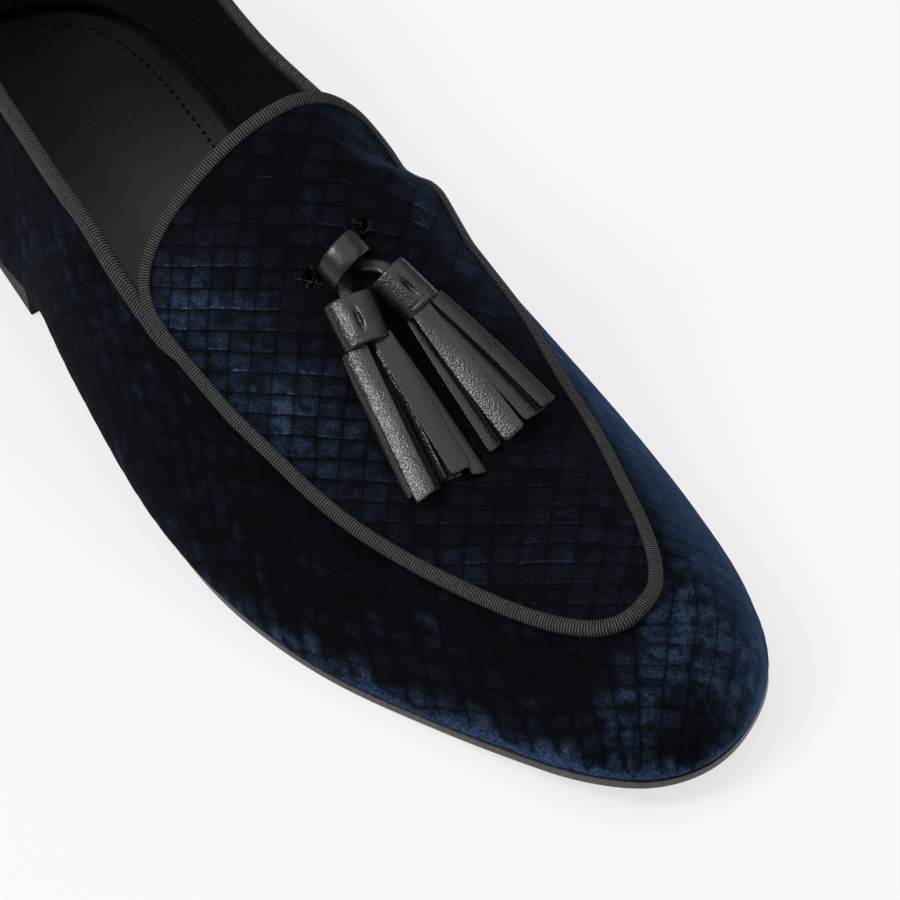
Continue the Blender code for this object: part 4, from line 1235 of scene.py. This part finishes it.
def sweepStrap(name, path, level, width, thick, look):
    along = unit(np.gradient(path, axis=0))
    wide = unit(level - along * (level * along).sum(1)[:, None])
    up = np.cross(wide, along)
    count, sides, power = len(path) - 1, 16, 5

    def put(u, v):
        i = np.rint(u * count).astype(int)
        closed = (i == 0) | (i == count)
        aside, over = (np.where(closed, 0.0, part) for part in roundedSquare(v, power))
        return path[i] + wide[i] * (width / 2 * aside)[:, None] + up[i] * (thick / 2 * over)[:, None]

    return layGrid(name, count, sides, put, [look], merge=0.004)


def smoothRoute(route, count):
    route = np.array(route)
    gone = lengthsAlong(route)
    even = np.linspace(0, gone[-1], count)
    return np.stack([bentLath(gone, route[:, axis])(even) for axis in range(3)], -1)


def bandFrame():
    feet = [onSkin(*foot, apronLine["thick"]) for foot in bandCut["feet"]]
    across = unit(feet[1][0] - feet[0][0])
    forward = unit(np.cross(across, feet[0][1] + feet[1][1]))
    return feet[0][0], across, forward, np.cross(forward, across)


def bandPoints(route):
    start, across, forward, up = bandFrame()
    return [start + across * a + forward * b + up * c for a, b, c in route]


def makeBand():
    _, _, forward, _ = bandFrame()
    path = smoothRoute(bandPoints(bandCut["route"]), bandCut["steps"])
    level = np.broadcast_to(forward, path.shape)
    piece = sweepStrap("keeperBand", path, level, bandCut["width"], bandCut["thick"], bandLeather)
    return keep(piece, "tassel_leather", "keeper_band")


def makeLace():
    _, _, _, up = bandFrame()
    ends = []
    for key in ("lateral", "medial"):
        head, foot = (onSkin(*place)[0] for place in tasselCut[key]["axis"][:2])
        ends.append([head + unit(foot - head) * far for far in laceCut["ends"]])
    path = smoothRoute([*ends[0], *bandPoints(laceCut["loop"]), *ends[1][::-1]], laceCut["steps"])
    along = unit(np.gradient(path, axis=0))
    level = unit(np.cross(along, np.broadcast_to(up, path.shape)))
    piece = sweepStrap("tasselLace", path, level, laceCut["width"], laceCut["thick"], bandLeather)
    return keep(piece, "tassel_leather", "tassel_lace")


slitCut = {"places": ((2.6, 1.1, 0.62), (17.6, -0.5, 0.56)), "size": (2.9, 2.0, 0.3), "threads": 26,
           "seed": 12, "spread": 0.8, "rootHeight": 0.25, "rise": (0.05, 0.5), "reach": (0.5, 1.9),
           "thin": 0.075, "tip": 0.4}


def makeSlits():         # the band's two slits, cut into the velvet and frayed; the inside of each is a near-black ball, painted shadow
    _, across, forward, up = bandFrame()
    axes = Matrix((across, forward, up)).transposed().to_4x4()
    long, wide, _ = slitCut["size"]
    thin = slitCut["thin"] * mm
    holeShadows, threads = bmesh.new(), bmesh.new()
    rng = np.random.default_rng(slitCut["seed"])
    for place in slitCut["places"]:
        slit = Matrix.Translation(toRow(bandPoints([place])[0])) @ axes
        shape = slit @ Matrix.Diagonal([size * mm for size in slitCut["size"]] + [1])
        # the hole: a flattened near-black ball, painted shadow
        bmesh.ops.create_icosphere(holeShadows, subdivisions=3, radius=1.0, matrix=shape)
        for _ in range(slitCut["threads"]):
            spot = np.array([rng.uniform(-1, 1) * long, rng.normal(0, slitCut["spread"]) * wide,
                             slitCut["rootHeight"]])
            lean = unit(np.array([rng.normal(0, 1), rng.normal(0, 1), rng.uniform(*slitCut["rise"])]))
            reach = rng.uniform(*slitCut["reach"]) * mm
            turn = Vector((0, 0, 1)).rotation_difference(Vector(lean)).to_matrix().to_4x4()
            middle = Matrix.Translation((0, 0, reach / 2))
            shape = slit @ Matrix.Translation(spot * mm) @ turn @ middle
            bmesh.ops.create_cone(threads, cap_ends=True, segments=5, radius1=thin,
                                  radius2=thin * slitCut["tip"], depth=reach, matrix=shape)
    keep(finishMesh("slits", holeShadows, [slitShadow]), "apron_velvet")
    return keep(finishMesh("slitThreads", threads, [frayThread]), "apron_velvet")


for key in ("lateral", "medial"):
    makeCap(key, tasselCut[key])
    makeFringe(key, tasselCut[key])
makeBand()
makeLace()
makeSlits()
print("tassels, band and lace made")


# floor, light and world
studio = {
    "floor": (0.25, 0.25, 0.252), "mottle": 0.985, "floorSize": 4.0, "floorDrop": 0.0002,
    "glow": (1.0, 1.0, 1.012, 1), "glowStrength": 0.70,      # a light table under the shoe
    "world": (1.0, 1.0, 1.02, 1), "worldStrength": 0.30,
    # place, aim, size and power of each soft box, in metres and watts
    "lights": {"overhead": ((0.1, 0.0, 1.8), (0.05, 0, 0.03), 2.6, 17.0),
               "fromLeft": ((-0.02, -0.96, 1.14), (0.05, 0, 0.05), 0.50, 10.0),
               "fromToe": ((1.2, 0.4, 0.8), (0.05, 0, 0.03), 0.9, 1.5)},
}


def makeFloor():
    bm = bmesh.new()
    bmesh.ops.create_grid(bm, x_segments=2, y_segments=2, size=studio["floorSize"],
                          matrix=Matrix.Translation((0, 0, -studio["floorDrop"])))
    look, shader = newLook("paleFloor", Roughness=0.95, Specular_IOR_Level=0.0,
                           Emission_Color=studio["glow"], Emission_Strength=studio["glowStrength"])
    darker = [studio["mottle"] * part for part in studio["floor"]]
    tone = mixColor(noise(shoePlace(shader), 3.0), (*studio["floor"], 1), (*darker, 1))
    feed(shader, "Base Color", tone)
    finishMesh("floor", bm, [look])


def addLight(name, place, aim, size, power):
    data = bpy.data.lights.new(name, "AREA")
    data.shape, data.size, data.energy = "SQUARE", size, power
    light = bpy.data.objects.new(name, data)
    light.location = place
    light.rotation_euler = (Vector(aim) - Vector(place)).to_track_quat("-Z", "Y").to_euler()
    bpy.context.scene.collection.objects.link(light)


makeFloor()
for name, setting in studio["lights"].items():
    addLight(name, *setting)
world = bpy.data.worlds.new("studio")
world.use_nodes = True
sky = world.node_tree.nodes["Background"]
sky.inputs["Color"].default_value = studio["world"]
sky.inputs["Strength"].default_value = studio["worldStrength"]
bpy.context.scene.world = world
bpy.context.scene.view_settings.view_transform = "Standard"
print("floor and lights made")
